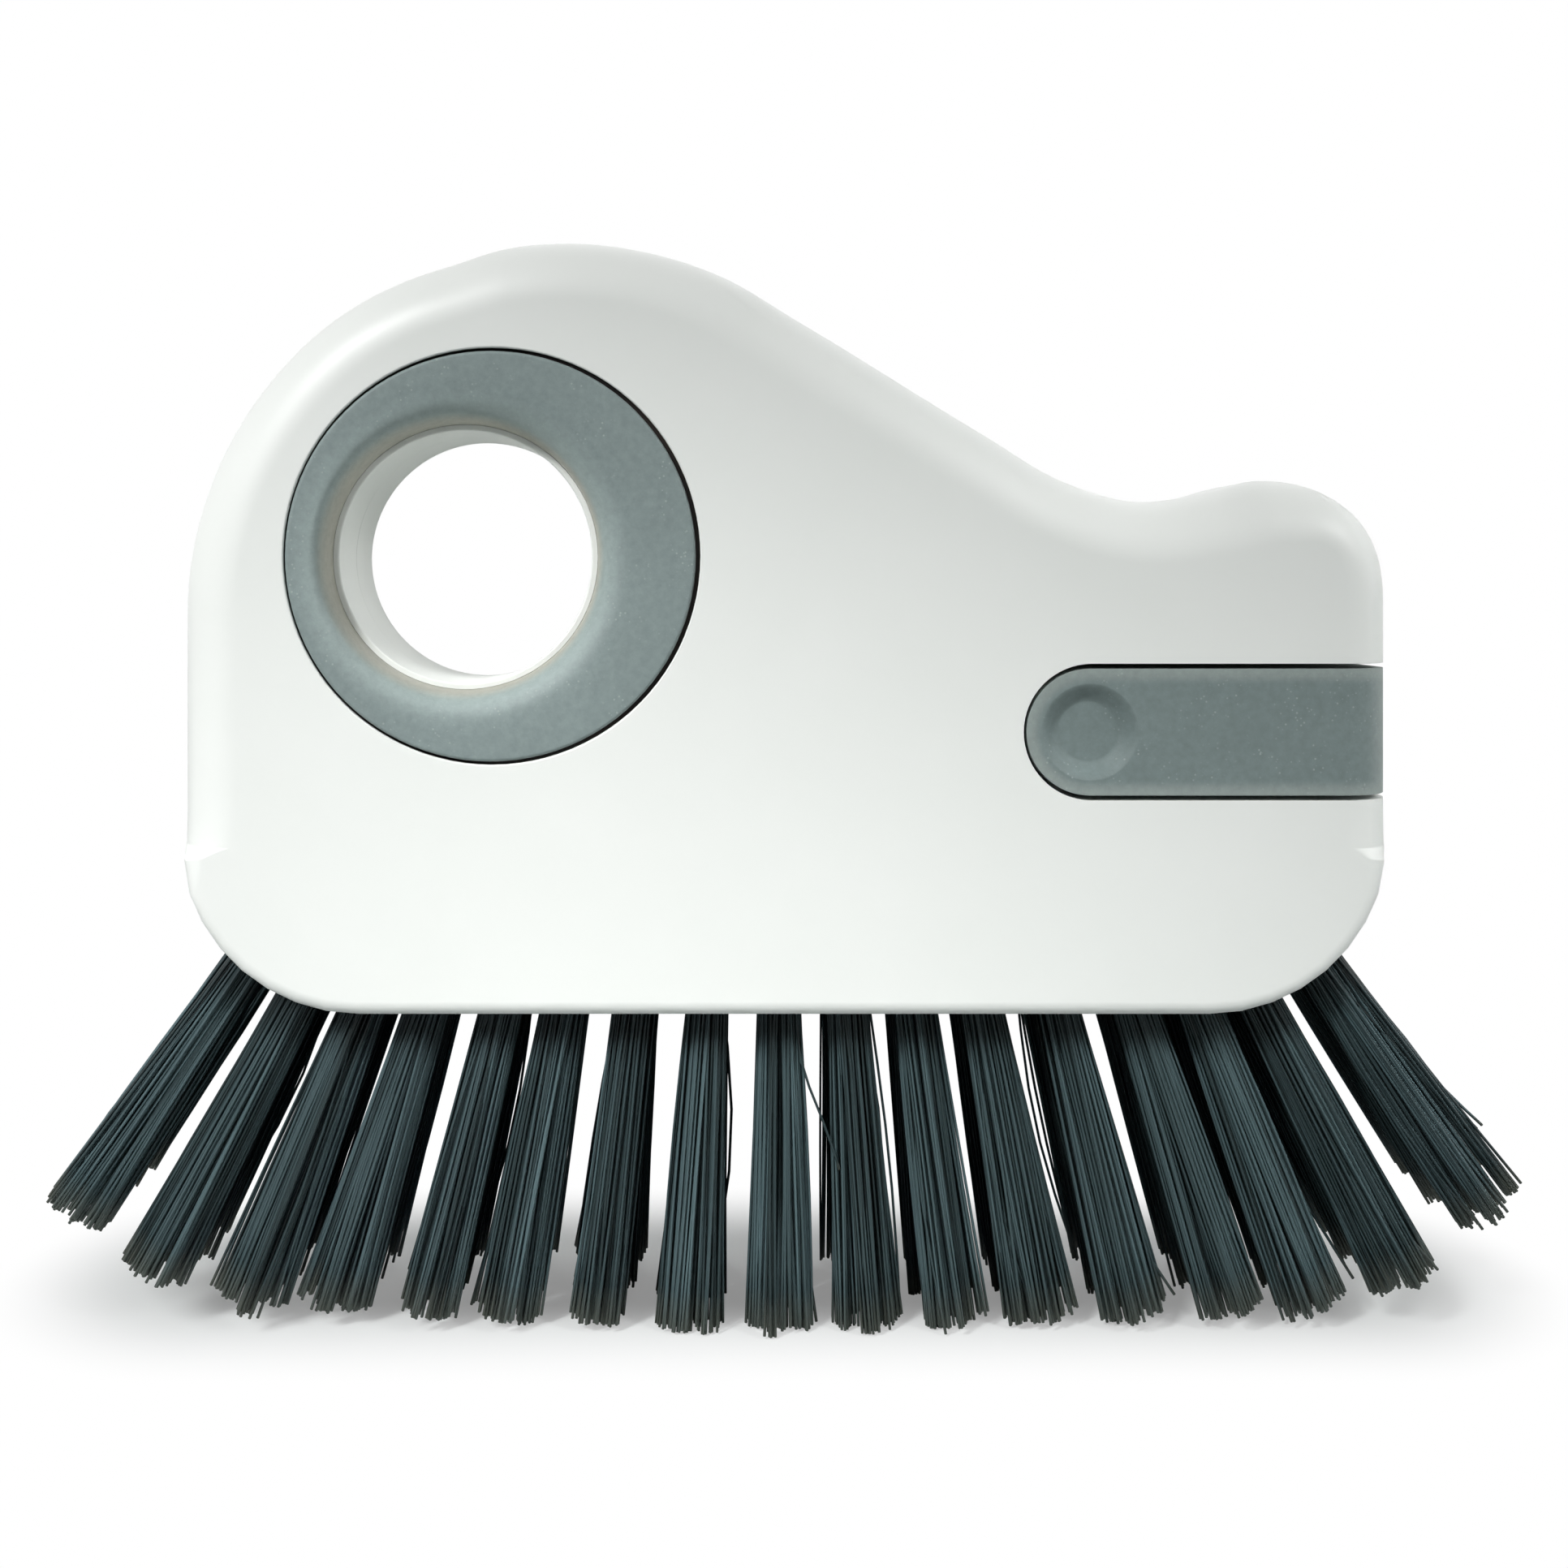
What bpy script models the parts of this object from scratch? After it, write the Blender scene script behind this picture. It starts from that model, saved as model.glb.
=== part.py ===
"""Groove cleaning brush: a hand brush with a finger hole and a pull-out crevice brush.

The white body is two half shells that meet on the plane Y = 0. They clamp a block between them, and
three rows of bristle tufts fan out of its lower skin. A grey ring lines the finger hole on each face.
A grey two-part handle fills a slot at the right end and slides out along +X with a narrow brush on it.

X runs along the brush, Y from the front face (-Y) to the rear one, Z up. The origin lies in the middle
of the brush, on the surface that the trimmed bristle tips stand on.
"""

import math

import bmesh
import bpy
from mathutils import Matrix, Vector, geometry

for leftover in list(bpy.data.objects):
    bpy.data.objects.remove(leftover, do_unlink=True)

mm = 0.001

# Clearances and overruns
seat_gap = 0.3 * mm  # between two pieces that lie against each other
slide_gap = 0.5 * mm  # above and below the sliding handle
overrun = 4.0 * mm  # how far a cutter runs past what it cuts
root_overlap = 1.0 * mm  # how far a boss or a rib reaches into the wall that carries it

# The body as a whole
body_thickness = 26.0 * mm
wall = 2.4 * mm
inner_edge = 0.5 * mm  # the least rounding along the inner corner of a shell
half_thickness = body_thickness / 2
inner_face = half_thickness - wall
parting = seat_gap / 2

# The head: the lower, square-edged part that holds the bristles
head_width = 121.0 * mm
head_height = 16.8 * mm
head_corner = 18.0 * mm
head_edge = 1.5 * mm
shoulder_height = 1.5 * mm  # over which the head's edge grows into the grip's
shoulder_steps = 3
corner_steps = 8

# The grip: the upper part with the soft edge, as a smooth curve through a few places.
# Each place is a share of the grip's width and of its height above the head's ledge.
grip_height = 61.2 * mm
grip_overhang = 0.5 * mm
grip_edge = 6.5 * mm
edge_steps = 4
inner_edge_steps = 2
curve_steps = 3
grip_curve_shares = (
    (0.000, 0.379), (0.017, 0.578), (0.059, 0.739), (0.127, 0.876), (0.184, 0.937),
    (0.226, 0.965), (0.266, 0.990), (0.318, 1.000), (0.388, 0.984), (0.450, 0.943),
    (0.510, 0.873), (0.672, 0.675), (0.734, 0.602), (0.797, 0.567), (0.855, 0.581),
    (0.900, 0.602), (0.948, 0.584), (0.986, 0.518), (1.000, 0.405),
)

# The bristles
column_pitch = 7.0 * mm  # measured along the head's lower edge
end_margin = 4.0 * mm  # the least distance from the last column to the end of the block
row_margin = 3.6 * mm  # from the middle of an outer row to the inside of the shell
rows = (-1, 0, 1)
bundle_diameter = 3.7 * mm
bristle_length = 33.1 * mm
corner_trim = 3.4 * mm  # how much shorter they get round the corner, per radian squared
trim_depth = 0.5 * mm  # the lowest tips are cut flat this deep
strand_inset = 0.2 * mm
strands_per_bundle = 8
spread_along = 2.1 * mm  # how far a strand leans out on its way to the tip
spread_across = 1.7 * mm
fan_step = math.radians(3.5)
corner_fan_share = 0.15
row_lean = math.radians(2.0)
column_shift_shares = {
    -7: -0.06, -6: -0.12, -5: -0.18, -4: -0.10, -3: -0.20, -2: -0.16, -1: -0.10, 0: -0.04,
    1: -0.05, 2: -0.08, 3: -0.10, 4: 0.02, 5: 0.12, 6: 0.08, 7: -0.06,
}

# The block that the bristles are set into, and the melted bar behind each column of bundles
block_reveal = 0.3 * mm
block_band = 8.6 * mm  # height of the part that shows between the shells
tongue_height = 4.8 * mm
block_skin = 5.0 * mm
bar_spacing = 2.6 * mm  # what the columns' pitch leaves between two bars
bar_thickness = 2.2 * mm
bar_margin = 0.15 * mm  # past the outer bundles
block_peg_diameter = 2.6 * mm
block_peg_share = 0.27  # of the head's width, from the middle
block_peg_drop = 2.2 * mm  # below the top of the block

# The finger hole and the rings round it
ring_width = 6.65 * mm  # from the ring's inner edge to its outer one
ring_shift = 31.9 * mm  # from the grip's left flank to the ring's middle
ring_drop = 32.2 * mm  # from the crest of the grip to the ring's middle
ring_wall = 1.8 * mm
ring_dish = 4.8 * mm
bore_diameter = 25.8 * mm
bore_shift = 3.3 * mm  # the bore is off the ring's middle, towards the flank
sleeve_rim = 0.6 * mm
sleeve_wall = 2.4 * mm
round_steps = 32
bore_steps = 40
dish_shares = ((0.0, 0.0), (0.36, 0.04), (0.68, 0.22), (0.90, 0.58), (1.0, 1.0))

# The slot and the handle that slides in it
slot_height = 13.6 * mm
slot_rise = 11.5 * mm  # from the ledge up to the slot's middle
handle_length = 36.9 * mm
handle_wall = 2.0 * mm
handle_edge = 0.4 * mm
dimple_diameter = 9.8 * mm
dimple_floor_diameter = 5.4 * mm
dimple_depth = 1.3 * mm
slot_wall = 2.0 * mm
slot_steps = 12
rail_height = 1.3 * mm
rail_width = 2.0 * mm
rail_end_margin = 3.0 * mm

# The narrow brush on the handle
stem_width = 9.0 * mm
stem_height = 5.0 * mm
flange_margin = 1.8 * mm  # from the flange to the inside of the handle's face
flange_thickness = 3.0 * mm
handle_rib = 1.5 * mm
socket_depth = 4.3 * mm
crevice_width = 6.8 * mm
crevice_height = 2.4 * mm
crevice_length = 11.0 * mm
crevice_nest = 4.35 * mm  # how far the narrow brush reaches in under the ring's seat
crevice_rows = 2
crevice_columns = 7
crevice_spread_share = 0.22

# The pegs that join the shells
peg_diameter = 3.4 * mm
boss_diameter = 6.4 * mm
peg_reach = 6.0 * mm
peg_clearance = 1.1 * mm  # above the block
peg_steps = 12

# Places worked out from the sizes above
head_bottom = bristle_length - trim_depth
ledge = head_bottom + head_height
crest = ledge + grip_height
row_pitch = inner_face - row_margin
bar_width = column_pitch - bar_spacing
half_head = head_width / 2
half_grip = half_head + grip_overhang
flat_half = half_head - head_corner
block_split = head_bottom + block_band
block_turn = math.acos((head_corner - block_band) / head_corner)
columns_each_side = int((flat_half + head_corner * block_turn - end_margin) / column_pitch)
ring_inner = bore_diameter / 2 + sleeve_rim + seat_gap
ring_outer = ring_inner + ring_width
ring_x = ring_shift - half_grip
ring_z = crest - ring_drop
bore_x = ring_x - bore_shift
slot_z = ledge + slot_rise
slot_radius = slot_height / 2
handle_radius = slot_radius - slide_gap
handle_left = half_grip - handle_length
handle_center = handle_left + handle_radius
slot_left = handle_left - seat_gap
slot_center = slot_left + slot_radius
stem_left = ring_x + ring_outer + wall + crevice_length - crevice_nest
stem_right = handle_left + handle_wall + seat_gap + flange_thickness
flange_width = 2 * (inner_face - dimple_depth - flange_margin)
block_top = block_split - seat_gap + tongue_height


def sampled_curve(knots, steps):
    """A smooth curve through the knots, upright at its two ends."""
    tangents = []
    for index, knot in enumerate(knots):
        if index in (0, len(knots) - 1):
            tangents.append(Vector((0, 1 if index == 0 else -1)))
            continue
        before = knot - knots[index - 1]
        after = knots[index + 1] - knot
        tangent = before / before.length * after.length + after / after.length * before.length
        tangents.append(tangent.normalized())
    points = []
    for index in range(len(knots) - 1):
        start, end = knots[index], knots[index + 1]
        reach = (end - start).length / 3
        handles = start + tangents[index] * reach, end - tangents[index + 1] * reach
        span = geometry.interpolate_bezier(start, *handles, end, steps + 1)
        points += span[:-1]
    return points + [knots[-1]]


def grip_curve(steps):
    """The grip's edge from the left flank over the crest to the right flank."""
    knots = [
        Vector((x * 2 * half_grip - half_grip, ledge + z * grip_height))
        for x, z in grip_curve_shares
    ]
    return [tuple(point) for point in sampled_curve(knots, steps)]


def corner_arc(side, inset=0.0, rise=head_corner):
    """A lower corner of the head, from the flat bottom up to a height above it."""
    radius = head_corner - inset
    high = math.acos((head_corner - rise) / radius)
    arc = []
    for step in range(corner_steps + 1):
        angle = high * step / corner_steps
        x = flat_half + radius * math.sin(angle)
        arc.append((side * x, head_bottom + head_corner - radius * math.cos(angle)))
    return arc


def right_half_of_head(steps):
    """The head's right corner and the shoulder above it, each place with its edge rounding."""
    arc = corner_arc(1, rise=head_height - shoulder_height)
    places = [(x, z, head_edge) for x, z in arc]
    reach = half_grip - arc[-1][0]
    for step in range(1, steps + 1):
        share = step / steps
        ease = share * share * (3 - 2 * share)
        x = arc[-1][0] + reach * ease
        z = ledge - shoulder_height * (1 - share)
        places.append((x, z, head_edge + (grip_edge - head_edge) * ease))
    return places


def body_outline(steps, shoulder_count):
    """The whole body's outline, counter-clockwise from the front, with its edge rounding."""
    right = right_half_of_head(shoulder_count)
    left = [(-x, z, edge) for x, z, edge in reversed(right)]
    over = [(x, z, grip_edge) for x, z in reversed(grip_curve(steps))]
    return left + right + over


def inward_shifts(outline):
    """For each corner of an outline, the step that moves both its sides inwards by one unit."""
    points = [Vector(place[:2]) for place in outline]
    area = sum(a.cross(b) for a, b in zip(points, points[1:] + points[:1]))
    turn = 1 if area > 0 else -1
    result = []
    for index, point in enumerate(points):
        before = (point - points[index - 1]).normalized()
        after = (points[(index + 1) % len(points)] - point).normalized()
        first = Vector((-before.y, before.x)) * turn
        second = Vector((-after.y, after.x)) * turn
        result.append((first + second) / (1 + first.dot(second)))
    return result


def moved_in(outline, distance):
    """The outline moved inwards by a distance."""
    return [
        (place[0] + shift.x * distance, place[1] + shift.y * distance)
        for place, shift in zip(outline, inward_shifts(outline))
    ]


def plastic(name, colour, roughness):
    """One moulded plastic with its colour, red, green and blue."""
    material = bpy.data.materials.new(name)
    material.use_nodes = True
    shader = material.node_tree.nodes["Principled BSDF"]
    shader.inputs["Base Color"].default_value = (*colour, 1)
    shader.inputs["Roughness"].default_value = roughness
    material.diffuse_color = (*colour, 1)
    return material


white_plastic = plastic("white_polypropylene", (0.83, 0.86, 0.83), 0.42)
grey_rubber = plastic("grey_soft_rubber", (0.20, 0.25, 0.25), 0.62)
block_plastic = plastic("block_polypropylene", (0.80, 0.83, 0.80), 0.45)
stem_plastic = plastic("stem_polypropylene", (0.80, 0.83, 0.80), 0.45)
nylon = plastic("dark_nylon", (0.020, 0.032, 0.036), 0.38)
crevice_nylon = plastic("crevice_nylon", (0.020, 0.032, 0.036), 0.38)


def finished(name, mesh, material=None):
    """The bmesh as a named object, its faces pointing out, smooth but for its real edges."""
    bmesh.ops.recalc_face_normals(mesh, faces=mesh.faces)
    data = bpy.data.meshes.new(name)
    mesh.to_mesh(data)
    mesh.free()
    data.shade_smooth()
    data.set_sharp_from_angle(angle=math.radians(35))
    piece = bpy.data.objects.new(name, data)
    bpy.context.scene.collection.objects.link(piece)
    if material:
        data.materials.append(material)
    return piece


def prism(name, outline, start, end, edge=0.0, steps=1, material=None):
    """An outline in the XZ plane drawn out along Y, with the rim of its far face rounded."""
    mesh = bmesh.new()
    base = mesh.faces.new([mesh.verts.new((x, start, z)) for x, z in outline])
    drawn = bmesh.ops.extrude_face_region(mesh, geom=[base])["geom"]
    far = [item for item in drawn if isinstance(item, bmesh.types.BMVert)]
    bmesh.ops.translate(mesh, verts=far, vec=(0, end - start, 0))
    if edge:
        rim = [item for item in drawn if isinstance(item, bmesh.types.BMEdge)]
        bmesh.ops.bevel(
            mesh, geom=rim, offset=edge, segments=steps, profile=0.5, affect="EDGES", material=-1
        )
    return finished(name, mesh, material)


def skinned(name, loops, looped=False, material=None):
    """Closed loops with one count of points, joined one to the next, then capped or looped."""
    mesh = bmesh.new()
    rims = [[mesh.verts.new(point) for point in loop] for loop in loops]
    pairs = list(zip(rims, rims[1:]))
    if looped:
        pairs.append((rims[-1], rims[0]))
    else:
        mesh.faces.new(rims[0])
        mesh.faces.new(rims[-1])
    for first, second in pairs:
        for index in range(len(first)):
            after = (index + 1) % len(first)
            mesh.faces.new((first[index], first[after], second[after], second[index]))
    return finished(name, mesh, material)


def body_solid(name, start, side, material=None):
    """The body's outer form on one side of the middle, its edge rounded more at the grip."""
    outline = body_outline(curve_steps, shoulder_steps)
    return rounded_body(name, start, side, outline, half_thickness, edge_steps, material)


def hollow_solid(name, start, side, reach=0.0):
    """The room inside a shell, the body's form moved in by the wall, or a reach into that wall."""
    depth = wall - reach
    outline = body_outline(1, 1)
    edges = [max(edge - depth, inner_edge) for _, _, edge in outline]
    places = [(x, z, edge) for (x, z), edge in zip(moved_in(outline, depth), edges)]
    return rounded_body(name, start, side, places, half_thickness - depth, inner_edge_steps)


def rounded_body(name, start, side, outline, depth, steps, material=None):
    """An outline with an edge rounding at each place, drawn out from a start level to a depth."""
    shifts = inward_shifts(outline)
    loops = [[(x, start, z) for x, z, _ in outline]]
    for step in range(steps + 1):
        angle = math.pi / 2 * step / steps
        loop = []
        for (x, z, edge), shift in zip(outline, shifts):
            inset = edge * (1 - math.cos(angle))
            level = side * (depth - edge * (1 - math.sin(angle)))
            loop.append((x + shift.x * inset, level, z + shift.y * inset))
        loops.append(loop)
    return skinned(name, loops, material=material)


def box(name, low, high):
    """A box between two corners."""
    mesh = bmesh.new()
    size = [b - a for a, b in zip(low, high)]
    middle = [(a + b) / 2 for a, b in zip(low, high)]
    bmesh.ops.create_cube(mesh, size=1, matrix=Matrix.LocRotScale(middle, None, size))
    return finished(name, mesh)


def drum(name, x, z, radius, start, end, steps):
    """A round bar along Y."""
    mesh = bmesh.new()
    place = Matrix.Translation((x, (start + end) / 2, z)) @ Matrix.Rotation(math.pi / 2, 4, "X")
    bmesh.ops.create_cone(
        mesh, cap_ends=True, segments=steps, radius1=radius, radius2=radius,
        depth=abs(end - start), matrix=place,
    )
    return finished(name, mesh)


def lofted(name, stations, looped=False, material=None):
    """Circles across Y, each (x, z, radius, y), skinned one to the next."""
    turns = [2 * math.pi * step / round_steps for step in range(round_steps)]
    loops = [
        [(x + radius * math.cos(turn), y, z + radius * math.sin(turn)) for turn in turns]
        for x, z, radius, y in stations
    ]
    return skinned(name, loops, looped, material)


def combine(piece, tool, operation="DIFFERENCE"):
    """Cut a tool out of a piece, or join it on, and keep the tool as a guide."""
    step = piece.modifiers.new(tool.name, "BOOLEAN")
    step.operation = operation
    step.solver = "EXACT"
    step.object = tool
    tool.hide_render = True
    tool.display_type = "WIRE"


def stadium(left_center, radius, right):
    """A bar's outline about the slot's middle height: a round left end and an open right end."""
    arc = []
    for step in range(slot_steps + 1):
        angle = math.pi / 2 + math.pi * step / slot_steps
        arc.append((left_center + radius * math.cos(angle), slot_z + radius * math.sin(angle)))
    return [(right, slot_z + radius)] + arc + [(right, slot_z - radius)]


def peg_places():
    """Where the shells' five pegs stand, clear of the ring, the slot and the stem."""
    reach = boss_diameter / 2 + wall
    ring_clear = ring_outer + boss_diameter
    return (
        (ring_x + ring_clear, ring_z + ring_clear * 2 / 3),
        (ring_x - ring_clear * 3 / 4, ring_z - ring_clear * 3 / 4),
        (ring_x + ring_clear * 5 / 4, block_top + seat_gap + boss_diameter / 2 + peg_clearance),
        (handle_center, slot_z + slot_radius + slot_wall + reach),
        (half_grip - reach * 2, slot_z + slot_radius + slot_wall + reach),
    )


def dish_body(name, side):
    """The raised seat of a ring inside a shell, which ends in the sleeve of the finger hole."""
    seat = ring_outer + seat_gap + wall
    tube = bore_diameter / 2 + sleeve_wall
    floor = half_thickness - ring_wall - seat_gap - wall
    stations = (
        (ring_x, ring_z, seat, side * (half_thickness - root_overlap)),
        (ring_x, ring_z, seat, side * floor),
        (bore_x, ring_z, tube + wall, side * (floor - ring_dish)),
        (bore_x, ring_z, tube, side * (floor - ring_dish - wall)),
        (bore_x, ring_z, tube, -side * overrun),
    )
    return lofted(name, stations)


def ring_section(side, gap, drop):
    """Circles down the dished ring's section, widened by a gap and lowered by a drop."""
    section = []
    for across, down in dish_shares:
        x = ring_x + across * (bore_x - ring_x)
        radius = ring_outer + across * (ring_inner - ring_outer) + gap
        section.append((x, ring_z, radius, side * (half_thickness - down * ring_dish - drop)))
    return section


def make_ring(name, side):
    """A grey ring that is flush with the face outside and dips into the finger hole."""
    top = ring_section(side, 0.0, 0.0)
    underside = ring_section(side, 0.0, ring_wall)
    return lofted(name, top + underside[::-1], looped=True, material=grey_rubber)


def ring_seat(name, side):
    """The room that a ring takes up in its shell, outside the rim of the sleeve."""
    underside = ring_section(side, seat_gap, ring_wall + seat_gap)
    above = side * (half_thickness + overrun)
    rim = bore_diameter / 2 + sleeve_rim
    x, z, radius, _ = underside[0]
    top = [(x, z, radius, above), (bore_x, ring_z, rim, above), (bore_x, ring_z, rim, underside[-1][3])]
    return lofted(name, top + underside[::-1], looped=True)


def rim_trim(name, side):
    """What stands proud of the sleeve's rim once the ring's seat is cut."""
    rim = bore_diameter / 2 + sleeve_rim + seat_gap / 2
    level = side * (half_thickness - ring_dish)
    return drum(name, bore_x, ring_z, rim, level, side * (half_thickness + overrun), bore_steps)


def make_shell(name, side):
    """One half of the body: side -1 is the front, with the pegs, and +1 the rear, with sockets."""
    face = side * half_thickness
    back = -side * overrun
    shell = body_solid(name, back, side, material=white_plastic)
    beyond = -side * (overrun + wall)
    combine(shell, hollow_solid(name + "_hollow", beyond, side))
    mouth_x = half_head + overrun
    mouth = box(
        name + "_mouth",
        (-mouth_x, min(beyond, side * inner_face), head_bottom - overrun),
        (mouth_x, max(beyond, side * inner_face), block_split),
    )
    combine(shell, mouth)
    add_inside(shell, name, side)
    combine(shell, ring_seat(name + "_ring_seat", side))
    combine(shell, rim_trim(name + "_rim", side))
    bore = drum(
        name + "_bore", bore_x, ring_z, bore_diameter / 2, face + side * overrun, beyond, bore_steps
    )
    combine(shell, bore)
    cut_slot(shell, name, side)
    meet = prism(name + "_meet", [
        (-half_head - overrun, 0), (half_head + overrun, 0),
        (half_head + overrun, crest + overrun), (-half_head - overrun, crest + overrun),
    ], -side * 2 * overrun, side * parting)
    combine(shell, meet)
    add_pegs(shell, name, side)
    return shell


def add_inside(shell, name, side):
    """What stands inside a shell: the ring's seat, the wall round the slot and the bosses."""
    combine(shell, dish_body(name + "_dish", side), "UNION")
    inside = side * (half_thickness - root_overlap)
    outline = stadium(slot_center, slot_radius + slot_wall, half_grip + overrun)
    slot_room = prism(name + "_slot_wall", outline, -side * overrun, inside)
    combine(slot_room, hollow_solid(name + "_slot_limit", -side * 2 * overrun, side, root_overlap), "INTERSECT")
    combine(shell, slot_room, "UNION")
    for number, (x, z) in enumerate(peg_places(), 1):
        boss = drum(f"{name}_boss_{number}", x, z, boss_diameter / 2, -side * overrun, inside, peg_steps)
        combine(shell, boss, "UNION")


def cut_slot(shell, name, side):
    """The slot for the handle, right through the face, and the window for its stem."""
    outer = side * (half_thickness + overrun)
    inner = -side * (overrun + wall)
    outline = stadium(slot_center, slot_radius, half_grip + overrun)
    combine(shell, prism(name + "_slot", outline, inner, outer))
    reach = stem_width / 2 + seat_gap
    high = stem_height / 2 + seat_gap
    window = box(
        name + "_window",
        (slot_left - slot_wall - overrun, -reach, slot_z - high),
        (slot_center, reach, slot_z + high),
    )
    combine(shell, window)


def add_pegs(shell, name, side):
    """Pegs or sockets where the shells join, rails for the handle and pins for the block."""
    radius = peg_diameter / 2
    for number, (x, z) in enumerate(peg_places(), 1):
        if side < 0:
            peg = drum(f"{name}_peg_{number}", x, z, radius, -parting - root_overlap, peg_reach, peg_steps)
            combine(shell, peg, "UNION")
        else:
            socket = drum(
                f"{name}_socket_{number}", x, z, radius + seat_gap, -root_overlap,
                peg_reach + seat_gap, peg_steps,
            )
            combine(shell, socket)
    rail_left = slot_center + root_overlap
    rail_right = half_grip - rail_end_margin
    edges = sorted((side * parting, side * rail_width / 2))
    for word, way in (("upper", 1), ("lower", -1)):
        heights = sorted((slot_z + way * (slot_radius - rail_height), slot_z + way * (slot_radius + root_overlap)))
        rail = box(
            f"{name}_{word}_rail", (rail_left, edges[0], heights[0]), (rail_right, edges[1], heights[1])
        )
        combine(shell, rail, "UNION")
    for word, way in (("left", -1), ("right", 1)):
        x = way * block_peg_share * head_width
        z = block_top + seat_gap - block_peg_drop
        pin = drum(
            f"{name}_{word}_pin", x, z, block_peg_diameter / 2,
            side * (inner_face + root_overlap), side * seat_gap, peg_steps,
        )
        combine(shell, pin, "UNION")


def corner_turn(column):
    """How far along the edge a column stands, and how far that is round the head's corner."""
    along = (column + column_shift_shares.get(column, 0)) * column_pitch
    return along, max(0, abs(along) - flat_half) / head_corner


def column_place(column):
    """Where a column of bundles leaves the block's skin: its frame, with -Z along the bristles."""
    along, turn = corner_turn(column)
    side = 1 if along > 0 else -1
    radius = head_corner - block_reveal
    x = max(-flat_half, min(flat_half, along)) + side * radius * math.sin(turn)
    z = head_bottom + head_corner - radius * math.cos(turn)
    fan = fan_step * column + side * corner_fan_share * turn
    return Matrix.Translation((x, 0, z)) @ Matrix.Rotation(-fan, 4, "Y")


def bundle_place(column, row):
    """The frame of one bundle in its column, leaning out a little with its row."""
    shift = Matrix.Translation((0, row * row_pitch, 0))
    return column_place(column) @ shift @ Matrix.Rotation(row * row_lean, 4, "X")


def grow_strands(mesh, roots, length, spread):
    """Draw each small face out into one strand that leans away from the bundle's middle."""
    bmesh.ops.inset_individual(mesh, faces=roots, thickness=strand_inset, use_even_offset=True)
    tips = bmesh.ops.extrude_discrete_faces(mesh, faces=roots)["faces"]
    for tip in tips:
        lean = spread(tip.calc_center_median())
        bmesh.ops.translate(mesh, verts=list(tip.verts), vec=(lean.x, lean.y, -length))


def bundle(name, place, depth, length):
    """One bundle: a round root with strands that fan out of it, and flat tips on the ground."""
    mesh = bmesh.new()
    radius = bundle_diameter / 2
    bmesh.ops.create_cone(
        mesh, cap_ends=True, cap_tris=True, segments=strands_per_bundle, radius1=radius,
        radius2=radius, depth=depth, matrix=Matrix.Translation((0, 0, depth / 2)),
    )
    mouth = [face for face in mesh.faces if face.calc_center_median().z < depth / 4 and len(face.verts) == 3]
    roots = [face for face in mouth if abs(face.normal.z) > abs(face.normal.x) + abs(face.normal.y)]

    def spread(center):
        away = Vector((center.x, center.y)).normalized()
        return Vector((away.x * spread_along, away.y * spread_across))

    grow_strands(mesh, roots, length, spread)
    bmesh.ops.transform(mesh, matrix=place, verts=list(mesh.verts))
    down = place.to_3x3() @ Vector((0, 0, -1))
    for vert in mesh.verts:
        if vert.co.z < 0:
            vert.co += down * (vert.co.z / -down.z)
    return finished(name, mesh)


def make_column(name, column):
    """Three bundles in a row across the brush, their roots melted into one bar."""
    place = column_place(column)
    length = bristle_length - corner_trim * corner_turn(column)[1] ** 2
    depth = block_skin + seat_gap + bar_thickness / 2
    reach = row_pitch + bundle_diameter / 2 + bar_margin
    size = (bar_width, 2 * reach, bar_thickness)
    mesh = bmesh.new()
    middle = place @ Matrix.Translation((0, 0, depth))
    bmesh.ops.create_cube(mesh, size=1, matrix=middle @ Matrix.Diagonal((*size, 1)))
    bar = finished(name, mesh, nylon)
    for row in rows:
        strands = bundle(f"{name}_bundle_{row + 2}", bundle_place(column, row), depth, length)
        combine(bar, strands, "UNION")
    return bar


def block_outline():
    """The block: its lower band follows the head's edge, its tongue reaches up into the shells."""
    band_top = block_split - seat_gap
    left = list(reversed(corner_arc(-1, inset=block_reveal, rise=band_top - head_bottom)))
    right = corner_arc(1, inset=block_reveal, rise=band_top - head_bottom)
    tongue = right[-1][0] - wall - seat_gap - block_reveal
    tenon = [(tongue, band_top), (tongue, block_top), (-tongue, block_top), (-tongue, band_top)]
    return left + right + tenon


def make_block(name):
    """The block between the shells, bored for every bundle, with a pocket behind each column."""
    depth = inner_face - seat_gap
    block = prism(name, block_outline(), -depth, depth, material=block_plastic)
    hole = bundle_diameter / 2 + seat_gap
    reach = row_pitch + bundle_diameter / 2 + bar_margin + seat_gap
    for column in range(-columns_each_side, columns_each_side + 1):
        number = column + columns_each_side + 1
        mesh = bmesh.new()
        size = (bar_width + 2 * seat_gap, 2 * reach, head_corner)
        middle = column_place(column) @ Matrix.Translation((0, 0, block_skin + head_corner / 2))
        bmesh.ops.create_cube(mesh, size=1, matrix=middle @ Matrix.Diagonal((*size, 1)))
        combine(block, finished(f"{name}_pocket_{number:02d}", mesh))
        mesh = bmesh.new()
        for row in rows:
            length = block_skin + 2 * root_overlap
            place = bundle_place(column, row) @ Matrix.Translation((0, 0, length / 2 - root_overlap))
            bmesh.ops.create_cone(
                mesh, cap_ends=True, segments=strands_per_bundle, radius1=hole, radius2=hole,
                depth=length, matrix=place,
            )
        combine(block, finished(f"{name}_holes_{number:02d}", mesh))
    for word, way in (("left", -1), ("right", 1)):
        x = way * block_peg_share * head_width
        z = block_top + seat_gap - block_peg_drop
        radius = block_peg_diameter / 2 + seat_gap
        pin_hole = drum(f"{name}_{word}_pin_hole", x, z, radius, -half_thickness, half_thickness, peg_steps)
        combine(block, pin_hole)
    return block


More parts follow.
